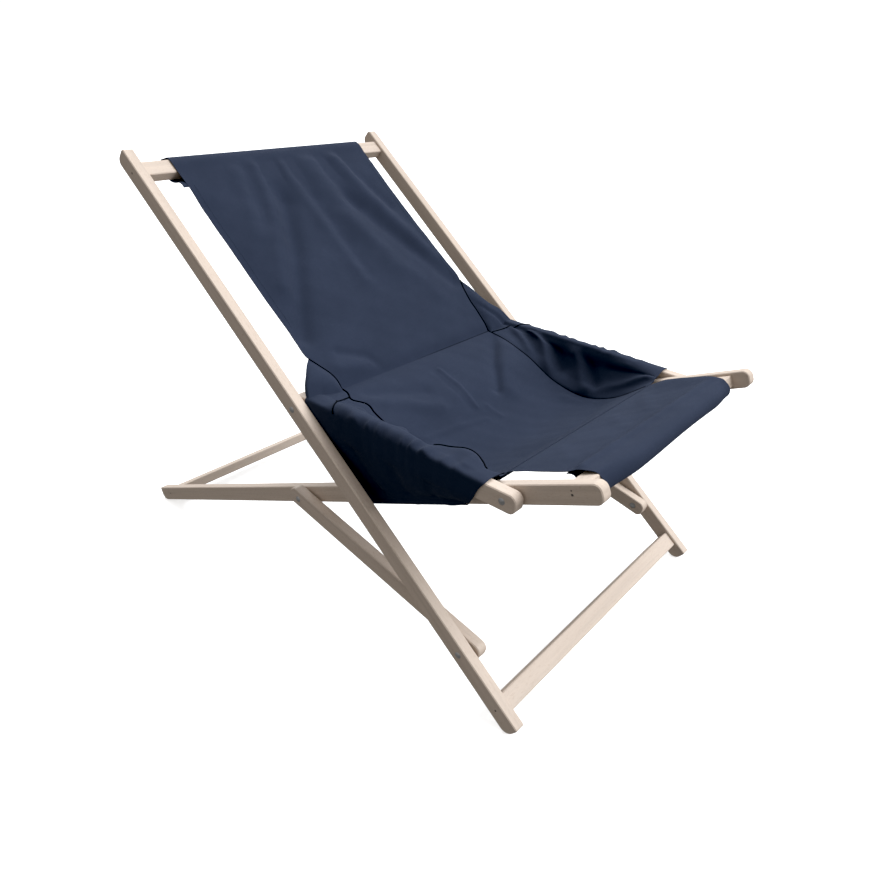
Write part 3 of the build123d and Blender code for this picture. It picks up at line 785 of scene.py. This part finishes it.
class NodeBench:
    """Adds shader nodes to one material and joins them."""

    def __init__(self, name):
        self.material = bpy.data.materials.new(name)
        self.material.use_nodes = True
        self.tree = self.material.node_tree
        self.shader = self.tree.nodes["Principled BSDF"]

    def add(self, kind, **settings):
        """A node of the given kind, with its settings."""
        node = self.tree.nodes.new(kind)
        for key, value in settings.items():
            setattr(node, key, value)
        return node

    def join(self, output, socket):
        """A link from an output to an input."""
        self.tree.links.new(output, socket)

    def put(self, socket, value):
        """A link where the value is another node's output, or else a constant."""
        if isinstance(value, bpy.types.NodeSocket):
            self.join(value, socket)
        else:
            socket.default_value = value

    def math(self, operation, first, second=0.0, third=0.0):
        """The output of a maths node."""
        node = self.add("ShaderNodeMath", operation=operation)
        for socket, value in zip(node.inputs, (first, second, third)):
            self.put(socket, value)
        return node.outputs[0]

    def noise(self, vector, scale, detail=3.0, roughness=0.5, distortion=0.0):
        """The height of a noise texture."""
        node = self.add("ShaderNodeTexNoise")
        self.join(vector, node.inputs["Vector"])
        node.inputs["Scale"].default_value = scale
        node.inputs["Detail"].default_value = detail
        node.inputs["Roughness"].default_value = roughness
        node.inputs["Distortion"].default_value = distortion
        return node.outputs["Fac"]

    def ramp(self, value, *stops):
        """A colour ramp over places and colours."""
        node = self.add("ShaderNodeValToRGB")
        stretch = node.color_ramp
        while len(stretch.elements) < len(stops):
            stretch.elements.new(0.5)
        for element, (place, colour) in zip(stretch.elements, stops):
            element.position = place
            element.color = (*colour, 1.0)
        self.join(value, node.inputs["Fac"])
        return node.outputs["Color"]

    def mix(self, share, first, second, blend="MIX"):
        """Two colours mixed."""
        node = self.add("ShaderNodeMix", data_type="RGBA", blend_type=blend)
        self.put(node.inputs["Factor"], share)
        for key, value in (("A", first), ("B", second)):
            socket = next(s for s in node.inputs if s.name == key and s.type == "RGBA")
            self.put(socket, value if isinstance(value, bpy.types.NodeSocket) else (*value, 1.0))
        return next(s for s in node.outputs if s.type == "RGBA")

    def spread(self, value, low, high):
        """A value from 0 to 1 spread between two limits."""
        node = self.add("ShaderNodeMapRange")
        self.put(node.inputs["Value"], value)
        node.inputs["To Min"].default_value = low
        node.inputs["To Max"].default_value = high
        return node.outputs["Result"]

    def bump(self, height, strength, distance):
        """A bump on the shader's normal."""
        node = self.add("ShaderNodeBump")
        node.inputs["Strength"].default_value = strength
        node.inputs["Distance"].default_value = distance
        self.join(height, node.inputs["Height"])
        self.join(node.outputs["Normal"], self.shader.inputs["Normal"])

    def shade(self, values):
        """Sets the shader's sockets by name, to other nodes' outputs or to constants."""
        for key, value in values.items():
            self.put(self.shader.inputs[key], value)


def tint(colour, factor):
    """A colour made lighter or darker."""
    return tuple(float(min(1.0, part * factor)) for part in colour)


def beech(name, colour, direction):
    """Oiled beech: long pale streaks and short dark flecks along the grain, warmer patches, and edges
    rubbed paler. direction is the grain's angle in the side view, or None for a bar across the chair."""
    bench = NodeBench(name)
    place = bench.add("ShaderNodeTexCoord")

    def grain(along, across):
        """Object coordinates turned along the grain and stretched along it."""
        turn = bench.add("ShaderNodeMapping", vector_type="TEXTURE")
        bench.join(place.outputs["Object"], turn.inputs["Vector"])
        if direction is None:
            turn.inputs["Scale"].default_value = (along, across, across)
        else:
            turn.inputs["Rotation"].default_value = (direction, 0, 0)
            turn.inputs["Scale"].default_value = (across, along, across)
        return turn.outputs["Vector"]

    streaks = bench.noise(grain(0.34, 0.011), 1.0, 5.0, 0.58, 0.35)
    fine = bench.noise(grain(0.06, 0.0022), 1.0, 3.0, 0.55)
    flecks = bench.noise(grain(0.0065, 0.0010), 1.0, 1.0, 0.4)
    patches = bench.noise(grain(0.42, 0.14), 1.0, 2.0, 0.5)
    wood = bench.ramp(
        streaks,
        (0.30, tint(colour, 0.86)),
        (0.47, tint(colour, 0.98)),
        (0.60, tint(colour, 1.04)),
        (0.74, tint(colour, 0.92)),
    )
    wood = bench.mix(bench.spread(fine, 0.0, 0.30), wood, tint(colour, 0.80), "MULTIPLY")
    dark = tuple(part * shade for part, shade in zip(colour, (0.62, 0.52, 0.44)))
    fleck_share = bench.math("MULTIPLY", bench.math("GREATER_THAN", flecks, 0.64), 0.42)
    wood = bench.mix(fleck_share, wood, dark)
    warm = tuple(part * shade for part, shade in zip(colour, (1.03, 0.98, 0.92)))
    wood = bench.mix(bench.spread(patches, 0.0, 0.55), wood, warm)
    rim = bench.add("ShaderNodeBevel", samples=6)
    rim.inputs["Radius"].default_value = 0.0016
    face = bench.add("ShaderNodeNewGeometry")
    turn = bench.add("ShaderNodeVectorMath", operation="DOT_PRODUCT")
    bench.join(rim.outputs["Normal"], turn.inputs[0])
    bench.join(face.outputs["Normal"], turn.inputs[1])
    rubbed = bench.math("MULTIPLY", bench.math("SUBTRACT", 1.0, turn.outputs["Value"]), 1.6)
    rubbed = bench.math("MULTIPLY", bench.math("MINIMUM", rubbed, 0.75), bench.spread(patches, 0.35, 1.0))
    wood = bench.mix(rubbed, wood, tint(colour, 1.12))
    rough = bench.spread(streaks, 0.46, 0.64)
    bench.shade({"Base Color": wood, "Roughness": rough, "Specular IOR Level": 0.35})
    height = bench.math("MULTIPLY_ADD", flecks, -0.6, bench.math("ADD", fine, streaks))
    bench.bump(height, 0.18, 0.0006)
    return bench.material


def canvas(name, colour, thread=0.00085):
    """Piece-dyed canvas: a plain weave of crossing threads, slubs along both, faded patches and sheen."""
    bench = NodeBench(name)
    place = bench.add("ShaderNodeTexCoord")
    split = bench.add("ShaderNodeSeparateXYZ")
    bench.join(place.outputs["UV"], split.inputs["Vector"])
    turns = math.pi / thread
    warp = bench.math("SINE", bench.math("MULTIPLY", split.outputs["X"], turns))
    weft = bench.math("SINE", bench.math("MULTIPLY", split.outputs["Y"], turns))
    weave = bench.math("MULTIPLY", warp, weft)

    def slub(along, across):
        """Uneven yarn: noise on the sheet's own map, drawn out along one thread direction."""
        stretch = bench.add("ShaderNodeMapping", vector_type="TEXTURE")
        bench.join(place.outputs["UV"], stretch.inputs["Vector"])
        stretch.inputs["Scale"].default_value = (across, along, 1.0)
        return bench.noise(stretch.outputs["Vector"], 1.0, 2.0, 0.5)

    yarn = bench.math("ADD", slub(0.020, 0.0012), slub(0.0012, 0.020))
    faded = bench.noise(place.outputs["Object"], 9.0, 4.0, 0.55)
    cloth = bench.ramp(
        faded,
        (0.28, tint(colour, 0.86)),
        (0.50, colour),
        (0.74, tint(colour, 1.16)),
    )
    cloth = bench.mix(bench.spread(yarn, -0.30, 0.45), cloth, tint(colour, 0.62))
    lit = bench.math("MULTIPLY", bench.math("MULTIPLY_ADD", weave, 0.5, 0.5), 0.22)
    cloth = bench.mix(lit, cloth, tint(colour, 1.75))
    bench.shade({
        "Base Color": cloth, "Roughness": bench.spread(yarn, 0.72, 0.95), "Specular IOR Level": 0.08,
        "Sheen Weight": 0.05, "Sheen Roughness": 0.45, "Sheen Tint": (0.62, 0.70, 0.88, 1.0),
    })
    bench.bump(bench.math("MULTIPLY_ADD", yarn, 0.35, weave), 0.35, 0.00025)
    return bench.material


def thread_finish(name, colour):
    """Dull sewing thread, unevenly dyed."""
    bench = NodeBench(name)
    place = bench.add("ShaderNodeTexCoord")
    dye = bench.noise(place.outputs["Object"], 700.0, 2.0, 0.5)
    cloth = bench.ramp(dye, (0.30, tint(colour, 0.75)), (0.70, tint(colour, 1.25)))
    rough = bench.spread(dye, 0.70, 0.95)
    bench.shade({"Base Color": cloth, "Roughness": rough, "Specular IOR Level": 0.05})
    bench.bump(dye, 0.3, 0.0002)
    return bench.material


def plated_steel(name, colour, rough):
    """Plated steel: fine brushed scratches and cloudy plating, duller in places."""
    bench = NodeBench(name)
    place = bench.add("ShaderNodeTexCoord")
    cloudy = bench.noise(place.outputs["Object"], 160.0, 4.0, 0.6)
    stretch = bench.add("ShaderNodeMapping", vector_type="TEXTURE")
    bench.join(place.outputs["Object"], stretch.inputs["Vector"])
    stretch.inputs["Scale"].default_value = (0.004, 0.0006, 0.0006)
    scratch = bench.noise(stretch.outputs["Vector"], 1.0, 2.0, 0.6)
    metal = bench.ramp(cloudy, (0.30, tint(colour, 0.72)), (0.55, colour), (0.75, tint(colour, 1.10)))
    dull = bench.spread(cloudy, rough - 0.10, rough + 0.14)
    bench.shade({"Base Color": metal, "Metallic": 1.0, "Roughness": dull})
    bench.bump(bench.math("ADD", scratch, cloudy), 0.15, 0.0002)
    return bench.material


def floor_finish(name, colour, glow):
    """Matt painted floor with a trace of unevenness, lit a little from below."""
    bench = NodeBench(name)
    place = bench.add("ShaderNodeTexCoord")
    worn = bench.noise(place.outputs["Object"], 3.0, 3.0, 0.5)
    paint = bench.ramp(worn, (0.3, tint(colour, 0.985)), (0.7, colour))
    bench.shade({
        "Base Color": paint, "Roughness": 0.9, "Specular IOR Level": 0.1,
        "Emission Color": (1.0, 1.0, 1.0, 1.0), "Emission Strength": glow,
    })
    bench.material.cycles.emission_sampling = "NONE"
    return bench.material


def backdrop_finish(name):
    """An evenly lit white backdrop."""
    bench = NodeBench(name)
    bench.shade({
        "Base Color": (0.0, 0.0, 0.0, 1.0), "Specular IOR Level": 0.0,
        "Emission Color": (1.0, 1.0, 1.0, 1.0), "Emission Strength": 1.05,
    })
    bench.material.cycles.emission_sampling = "NONE"
    return bench.material


def soft_room(name, sky, ground):
    """A soft room whose light fades from the ceiling to the ground."""
    world = bpy.data.worlds.new(name)
    world.use_nodes = True
    nodes, links = world.node_tree.nodes, world.node_tree.links
    place = nodes.new("ShaderNodeTexCoord")
    split = nodes.new("ShaderNodeSeparateXYZ")
    links.new(place.outputs["Generated"], split.inputs["Vector"])
    spread = nodes.new("ShaderNodeMapRange")
    links.new(split.outputs["Z"], spread.inputs["Value"])
    for key, value in (("From Min", -0.35), ("From Max", 0.65), ("To Min", ground), ("To Max", sky)):
        spread.inputs[key].default_value = value
    links.new(spread.outputs["Result"], nodes["Background"].inputs["Strength"])
    nodes["Background"].inputs["Color"].default_value = (1.0, 0.985, 0.97, 1.0)
    return world


def dress(piece, material):
    """Gives a piece one material in place of those it has."""
    piece.data.materials.clear()
    piece.data.materials.append(material)


# What every colour setting has
COLOUR = {"subtype": "COLOR", "size": 3, "min": 0.0, "max": 1.0}


class SlingSizes(PropertyGroup):
    """The sling's cloth."""

    colour: FloatVectorProperty(
        name="Cloth colour", description="Dye of the canvas", default=(0.0320, 0.0405, 0.0690), **COLOUR,
    )
    # Near-black thread, darker than the cloth: on the seam cords it also paints the shade of their grooves
    thread_and_seam_shade_colour: FloatVectorProperty(
        name="Thread colour", description="Sewing thread", default=(0.0030, 0.0038, 0.0070), **COLOUR,
    )
    thickness: FloatProperty(
        name="Cloth thickness", description="Thickness of one layer of canvas", unit="LENGTH",
        min=0.0004, max=0.003, default=0.0011,
    )
    stitch: FloatProperty(
        name="Stitch length", description="Length of one stitch", unit="LENGTH",
        min=0.001, max=0.008, default=0.0032,
    )


class FrameFinish(PropertyGroup):
    """The frame's wood and steel."""

    wood: FloatVectorProperty(
        name="Wood colour", description="Pale beech", default=(0.68, 0.58, 0.505), **COLOUR,
    )
    zinc: FloatVectorProperty(
        name="Plated steel", description="Bolts, nuts and washers", default=(0.55, 0.55, 0.56), **COLOUR,
    )
    screw_steel: FloatVectorProperty(
        name="Screw steel", description="Screws and pins", default=(0.20, 0.19, 0.19), **COLOUR,
    )


class StageSettings(PropertyGroup):
    """The floor, the camera and the light."""

    camera_place: FloatVectorProperty(
        name="Camera place", description="Where the camera stands", subtype="TRANSLATION", size=3,
        default=(-0.99590, -0.91050, 0.89834),
    )
    camera_yaw: FloatProperty(
        name="Camera yaw", description="How far the view turns from +Y to +X", subtype="ANGLE",
        default=0.86622,
    )
    camera_pitch: FloatProperty(
        name="Camera pitch", description="How far the view looks down", subtype="ANGLE", default=0.45399,
    )
    focal_share: FloatProperty(
        name="Focal length", description="Focal length over the picture's width", min=0.2, max=5.0,
        default=738.275 / 870,
    )
    floor_colour: FloatVectorProperty(
        name="Floor colour", description="Pale floor", default=(0.90, 0.90, 0.90), **COLOUR,
    )
    floor_glow: FloatProperty(
        name="Floor glow", description="Light from under the floor, which softens the shadow",
        min=0.0, max=2.0, default=0.60,
    )
    sky_light: FloatProperty(
        name="Sky light", description="Soft light from above", min=0.0, max=5.0, default=0.45,
    )
    ground_light: FloatProperty(
        name="Ground light", description="Soft light from below", min=0.0, max=5.0, default=0.20,
    )
    key_power: FloatProperty(
        name="Key light", description="Strength of the soft light in front", min=0.0, max=20.0, default=3.1,
    )
    back_power: FloatProperty(
        name="Back light", description="Strength of the soft light behind", min=0.0, max=20.0, default=2.6,
    )
    key_spread: FloatProperty(
        name="Key spread", description="How wide the soft light is", subtype="ANGLE", min=0.0, max=3.1,
        default=math.radians(50),
    )
    key_from: FloatVectorProperty(
        name="Key direction", description="Where the front light comes from", subtype="DIRECTION", size=3,
        default=(0.40, -0.62, 0.55),
    )
    back_from: FloatVectorProperty(
        name="Back direction", description="Where the light behind comes from", subtype="DIRECTION", size=3,
        default=(0.40, 0.60, 0.68),
    )
    light_colour: FloatVectorProperty(
        name="Light colour", description="Tint of both soft lights", default=(0.95, 0.98, 1.0), **COLOUR,
    )
    black_level: FloatVectorProperty(
        name="Black level", description="Light that the picture shows as black", subtype="COLOR", size=3,
        min=0.0, max=0.1, default=(0.0088, 0.0084, 0.0100),
    )


def wood_groups():
    """The wooden nodes by the angle of their grain."""
    def angle(along):
        return math.atan2(along[1], along[0])

    return {
        "back_rails": (("back_rail_left", "back_rail_right"), angle(BACK_ALONG)),
        "seat_rails": (("seat_rail_left", "seat_rail_right"), angle(-SEAT_ALONG)),
        "arms": (("arm_left", "arm_right"), angle(-ARM_ALONG)),
        "struts": (("strut_left", "strut_right"), angle(STRUT_ALONG)),
        "bars": (("top_bar", "foot_bar", "front_bar", "rear_bar"), None),
    }


class DECKCHAIR_OT_timber(Operator):
    """Finishes the rails, arms, struts and bars in beech with the grain along each"""

    bl_idname = "deckchair.timber"
    bl_label = "Finish the timber"

    def execute(self, context):
        finish = context.scene.deckchair_finish
        for group, (nodes, direction) in wood_groups().items():
            material = beech(f"beech_{group}", tuple(finish.wood), direction)
            for node in nodes:
                dress(frame["nodes"][node], material)
        return {"FINISHED"}


class DECKCHAIR_OT_hardware(Operator):
    """Finishes the bolts, nuts and washers in plated steel, and the screws and pins in dark steel"""

    bl_idname = "deckchair.hardware"
    bl_label = "Finish the hardware"

    def execute(self, context):
        finish = context.scene.deckchair_finish
        plated = plated_steel("plated_steel", tuple(finish.zinc), 0.36)
        dark = plated_steel("screw_steel", tuple(finish.screw_steel), 0.45)
        bolts = ("rail_bolts", "arm_bolts", "strut_bolts", "rail_nuts", "arm_nuts", "seat_nuts")
        for node in bolts + ("rail_washers", "arm_washers", "strut_washers"):
            dress(frame["nodes"][node], plated)
        for node in ("back_frame_screws", "seat_frame_screws", "seat_frame_pins"):
            dress(frame["nodes"][node], dark)
        return {"FINISHED"}


def cloth_of(context):
    """The sling's material, made once."""
    found = bpy.data.materials.get("navy_canvas")
    return found or canvas("navy_canvas", tuple(context.scene.deckchair_sling.colour))


def thread_of(context):
    """The thread's material, made once: near-black, so that the seam cords in it also paint the shade of
    their grooves.
    """
    found = bpy.data.materials.get("navy_thread_and_seam_shade")
    return found or thread_finish("navy_thread_and_seam_shade", tuple(context.scene.deckchair_sling.thread_and_seam_shade_colour))


def bend_at_crease(piece):
    """Bakes the piece's transform into its mesh."""
    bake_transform(piece)


def bend_at_front(piece):
    """Bakes the piece's transform into its mesh."""
    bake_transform(piece)


def sew(context, name, grid, closed=False, inside_out=False):
    """A sheet of the sling's canvas, with its thickness."""
    piece = grid_object(name, grid, closed, inside_out)
    thicken(piece, context.scene.deckchair_sling.thickness)
    dress(piece, cloth_of(context))
    return piece


def finish_thread(context, piece):
    """Thread on a piece of sewing."""
    dress(piece, thread_of(context))


def sew_cord(context, name, path, bend, radii=SEAM_RADIUS):
    """A seam's cord, baked in place like the cloth beside it."""
    # The cord's near-black thread also paints the shade of the seam's groove
    cord = carried_profile(name, path, radii)
    bend(cord)
    finish_thread(context, cord)


class DECKCHAIR_OT_back_panel(Operator):
    """Sews the back panel and its loop round the top bar"""

    bl_idname = "deckchair.back_panel"
    bl_label = "Back panel"

    def execute(self, context):
        panel = sew(context, "back_panel", back_sheet())
        bend_at_crease(panel)
        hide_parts("sling_back")
        return {"FINISHED"}


class DECKCHAIR_OT_seat_panel(Operator):
    """Sews the seat panel between the two wings"""

    bl_idname = "deckchair.seat_panel"
    bl_label = "Seat panel"

    def execute(self, context):
        panel = sew(context, "seat_panel", seat_sheet())
        bend_at_front(panel)
        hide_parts("sling_seat")
        return {"FINISHED"}


class DECKCHAIR_OT_wings(Operator):
    """Sews the two side sleeves round the arms and the seat rails"""

    bl_idname = "deckchair.wings"
    bl_label = "Side wings"

    def execute(self, context):
        for side in SIDES:
            grid = folded_wing(side)
            wing = sew(context, f"wing_{side.name}", grid, closed=True, inside_out=side.sign > 0)
            bend_at_front(wing)
            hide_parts(f"side_sleeve_{side.name}")
        return {"FINISHED"}


class DECKCHAIR_OT_gussets(Operator):
    """Sews the gussets between the back panel and the wings"""

    bl_idname = "deckchair.gussets"
    bl_label = "Gussets"

    def execute(self, context):
        for side in SIDES:
            gusset = sew(context, f"gusset_{side.name}", gusset_sheet(side), inside_out=side.sign < 0)
            merge_points(gusset)
            bend_at_crease(gusset)
        return {"FINISHED"}


class DECKCHAIR_OT_front_lip(Operator):
    """Sews the front lip and its loop round the front bar"""

    bl_idname = "deckchair.front_lip"
    bl_label = "Front lip"

    def execute(self, context):
        lip = sew(context, "front_lip", lip_sheet())
        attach(lip, "seat_frame")
        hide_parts("sling_front")
        return {"FINISHED"}


def wing_line(side, places, lift, count=60):
    """A line on a folded wing through the given places, in shares of its rows and in columns: points are
    mixed from the four grid points around each, and raised off the cloth along its normals."""
    wing = folded_wing(side)
    raised = wing - side.sign * lift * grid_normals(wing, closed=True)
    share, column = smooth_line(np.array(places) * [1.0, 0.01], count).T
    row = share * (len(wing) - 1)
    column = 100 * column
    i = np.clip(row.astype(int), 0, len(wing) - 2)
    j = np.clip(column.astype(int), 0, wing.shape[1] - 2)
    f, g = (row - i)[:, None], (column - j)[:, None]
    near = (1 - g) * raised[i, j] + g * raised[i, j + 1]
    return (1 - f) * near + f * ((1 - g) * raised[i + 1, j] + g * raised[i + 1, j + 1])


def side_hems(sheet, pivot_place, direction, start, end):
    """Lines with normals beside both side edges of a panel, on its front between two distances along a
    direction from a pivot."""
    run = (sheet[:, sheet.shape[1] // 2, 1:] - pivot_place) @ direction
    first, last = np.searchsorted(run[:np.argmax(run)], [start, end])
    normals = -grid_normals(sheet)
    columns = (HEM_COLUMN, -1 - HEM_COLUMN)
    return [(sheet[first:last, column], normals[first:last, column]) for column in columns]


class DECKCHAIR_OT_seams(Operator):
    """Sews the seams with dark cord, which also paints the shade of their grooves and of the crease, and
    stitches the side hems
    """

    bl_idname = "deckchair.seams"
    bl_label = "Seams and stitches"

    def execute(self, context):
        stitch = context.scene.deckchair_sling.stitch
        facing = np.array([0.0, *BACK_FACE])
        share = np.linspace(0.0, SEAT_SEAM_SHARE, SEAM_POINTS)
        over_arm = (1.0, wing_column(3), wing_column(5), wing_column(6) + 1)
        for side in SIDES:
            line = gusset_seam(side) + GUSSET_SEAM_LIFT * facing
            sew_cord(context, f"gusset_seam_{side.name}", line, bend_at_crease)
            half = seat_half_width(share, side.sign < 0)
            line = in_space(side.sign * half, seat_side(share, side.sign * np.ones(SEAM_POINTS)))
            line = line + [-SEAT_SEAM_IN * side.sign, *(SEAT_SEAM_LIFT * ARM_FACE)]
            sew_cord(context, f"seat_seam_{side.name}", line, bend_at_front)
            line = wing_line(side, list(zip(side.arm_seam, over_arm)), ARM_SEAM_LIFT)
            sew_cord(context, f"arm_seam_{side.name}", line, bend_at_front)
        # The crease's dark cord paints the crease's shadow, thinning out towards the near side
        x = np.linspace(*CREASE_SHADE_CORD_ENDS, SEAM_POINTS)
        crease = on_back(CREASE_U + CREASE_SHADE_CORD_LIFT, CREASE_V + CREASE_SHADE_CORD_LIFT)
        line = in_space(x, np.broadcast_to(crease, (SEAM_POINTS, 2)))
        radii = CREASE_SHADE_CORD_RADIUS * fade(x, *CREASE_SHADE_CORD_SWELL)
        sew_cord(context, "crease_seam_shade", line, bend_at_crease, radii)
        # The front tuck's dark cord is a welt that also paints the shade in the gap behind the near wing's
        # bulge
        tuck = [(place, wing_column(3)) for place in TUCK_SHADE_SHARES]
        sew_cord(context, "front_tuck_shade", wing_line(NEAR, tuck, TUCK_SHADE_LIFT), bend_at_front)
        hems = side_hems(back_sheet(), ARM_PIVOT, BACK_ALONG, FAR_TIP + STITCH_ABOVE, TOP_BAR_U - HEM_BELOW)
        stitches = stitch_rows("back_stitches", hems, stitch)
        bend_at_crease(stitches)
        finish_thread(context, stitches)
        hems = side_hems(lip_sheet(), FRONT_PIVOT, SEAT_ALONG, 0.0, FRONT_BAR_W - HEM_BELOW)
        stitches = stitch_rows("lip_stitches", hems, stitch)
        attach(stitches, "seat_frame")
        finish_thread(context, stitches)
        return {"FINISHED"}


# The floor lies this far below the feet, and the backdrop has this share of the floor's radius
FLOOR_DROP = 0.0002
BACKDROP_SHARE = 0.999
# How far off the lamps hang, in metres, and the width of the camera's sensor, in millimetres
LAMP_REACH = 3
SENSOR_WIDTH = 36.0


class DECKCHAIR_OT_stage(Operator):
    """Lays the floor, hangs the soft light and stands the camera"""

    bl_idname = "deckchair.stage"
    bl_label = "Stage"

    def execute(self, context):
        scene = context.scene
        stage = scene.deckchair_stage
        radius = np.linspace(0.0, ROOM_RADIUS, 24)[:, None]
        turn = np.linspace(0, 2 * math.pi, 72, endpoint=False)[None, :]
        level = 0 * radius * turn - FLOOR_DROP
        flat = np.stack([radius * np.cos(turn), radius * np.sin(turn), level], axis=-1)
        floor = grid_object("floor", flat, closed=True, inside_out=True)
        dress(floor, floor_finish("pale_floor", tuple(stage.floor_colour), stage.floor_glow))
        rise = np.linspace(0, math.pi / 2, 24)[:, None]
        out = np.cos(rise)
        dome = np.stack([out * np.cos(turn), out * np.sin(turn), np.sin(rise) + 0 * turn], axis=-1)
        dome = BACKDROP_SHARE * ROOM_RADIUS * dome
        backdrop = grid_object("backdrop", dome, closed=True, inside_out=True)
        dress(backdrop, backdrop_finish("white_backdrop"))
        for piece in (floor, backdrop):
            merge_points(piece)
            piece.visible_diffuse = False
            piece.visible_glossy = False
        backdrop.visible_shadow = False
        scene.world = soft_room("soft_room", stage.sky_light, stage.ground_light)
        lamps = (
            ("key_light", stage.key_power, stage.key_from),
            ("back_light", stage.back_power, stage.back_from),
        )
        for name, power, source in lamps:
            lamp = bpy.data.lights.new(name, "SUN")
            lamp.energy = power
            lamp.angle = stage.key_spread
            lamp.color = stage.light_colour
            holder = add_object(name, lamp)
            toward = unit(np.array(source))
            holder.location = LAMP_REACH * toward
            heading = math.atan2(toward[1], toward[0]) + math.pi / 2
            holder.rotation_euler = (math.acos(toward[2]), 0.0, heading)
        lens = bpy.data.cameras.new("camera")
        lens.sensor_fit = "HORIZONTAL"
        lens.sensor_width = SENSOR_WIDTH
        lens.lens = SENSOR_WIDTH * stage.focal_share
        lens.clip_start = 0.01
        camera = add_object("camera", lens)
        camera.location = stage.camera_place
        camera.rotation_euler = (math.pi / 2 - stage.camera_pitch, 0.0, -stage.camera_yaw)
        scene.camera = camera
        scene.view_settings.view_transform = "Standard"
        scene.view_settings.look = "None"
        scene.view_settings.use_curve_mapping = True
        scene.view_settings.curve_mapping.black_level = stage.black_level
        scene.view_settings.curve_mapping.update()
        return {"FINISHED"}


class DECKCHAIR_PT_sidebar(Panel):
    """Lists the chair's settings and pieces"""

    bl_idname = "DECKCHAIR_PT_sidebar"
    bl_label = "Deckchair"
    bl_space_type = "VIEW_3D"
    bl_region_type = "UI"
    bl_category = "Deckchair"

    def draw(self, context):
        scene = context.scene
        for settings in (scene.deckchair_sling, scene.deckchair_finish, scene.deckchair_stage):
            for name in settings.__annotations__:
                self.layout.prop(settings, name)
        for operator in OPERATORS:
            self.layout.operator(operator.bl_idname)


OPERATORS = (
    DECKCHAIR_OT_stage,
    DECKCHAIR_OT_timber,
    DECKCHAIR_OT_hardware,
    DECKCHAIR_OT_back_panel,
    DECKCHAIR_OT_seat_panel,
    DECKCHAIR_OT_wings,
    DECKCHAIR_OT_gussets,
    DECKCHAIR_OT_front_lip,
    DECKCHAIR_OT_seams,
)
CLASSES = (SlingSizes, FrameFinish, StageSettings) + OPERATORS + (DECKCHAIR_PT_sidebar,)


def register():
    """Registers the classes and hangs the settings on the scene."""
    for item in CLASSES:
        bpy.utils.register_class(item)
    bpy.types.Scene.deckchair_sling = PointerProperty(type=SlingSizes)
    bpy.types.Scene.deckchair_finish = PointerProperty(type=FrameFinish)
    bpy.types.Scene.deckchair_stage = PointerProperty(type=StageSettings)


def unregister():
    """Takes away the settings and the classes."""
    del bpy.types.Scene.deckchair_stage
    del bpy.types.Scene.deckchair_finish
    del bpy.types.Scene.deckchair_sling
    for item in reversed(CLASSES):
        bpy.utils.unregister_class(item)


def main():
    """Makes every piece in order."""
    register()
    bpy.ops.deckchair.stage()
    bpy.ops.deckchair.timber()
    bpy.ops.deckchair.hardware()
    bpy.ops.deckchair.back_panel()
    bpy.ops.deckchair.seat_panel()
    bpy.ops.deckchair.wings()
    bpy.ops.deckchair.gussets()
    bpy.ops.deckchair.front_lip()
    bpy.ops.deckchair.seams()


if __name__ == "__main__":
    main()
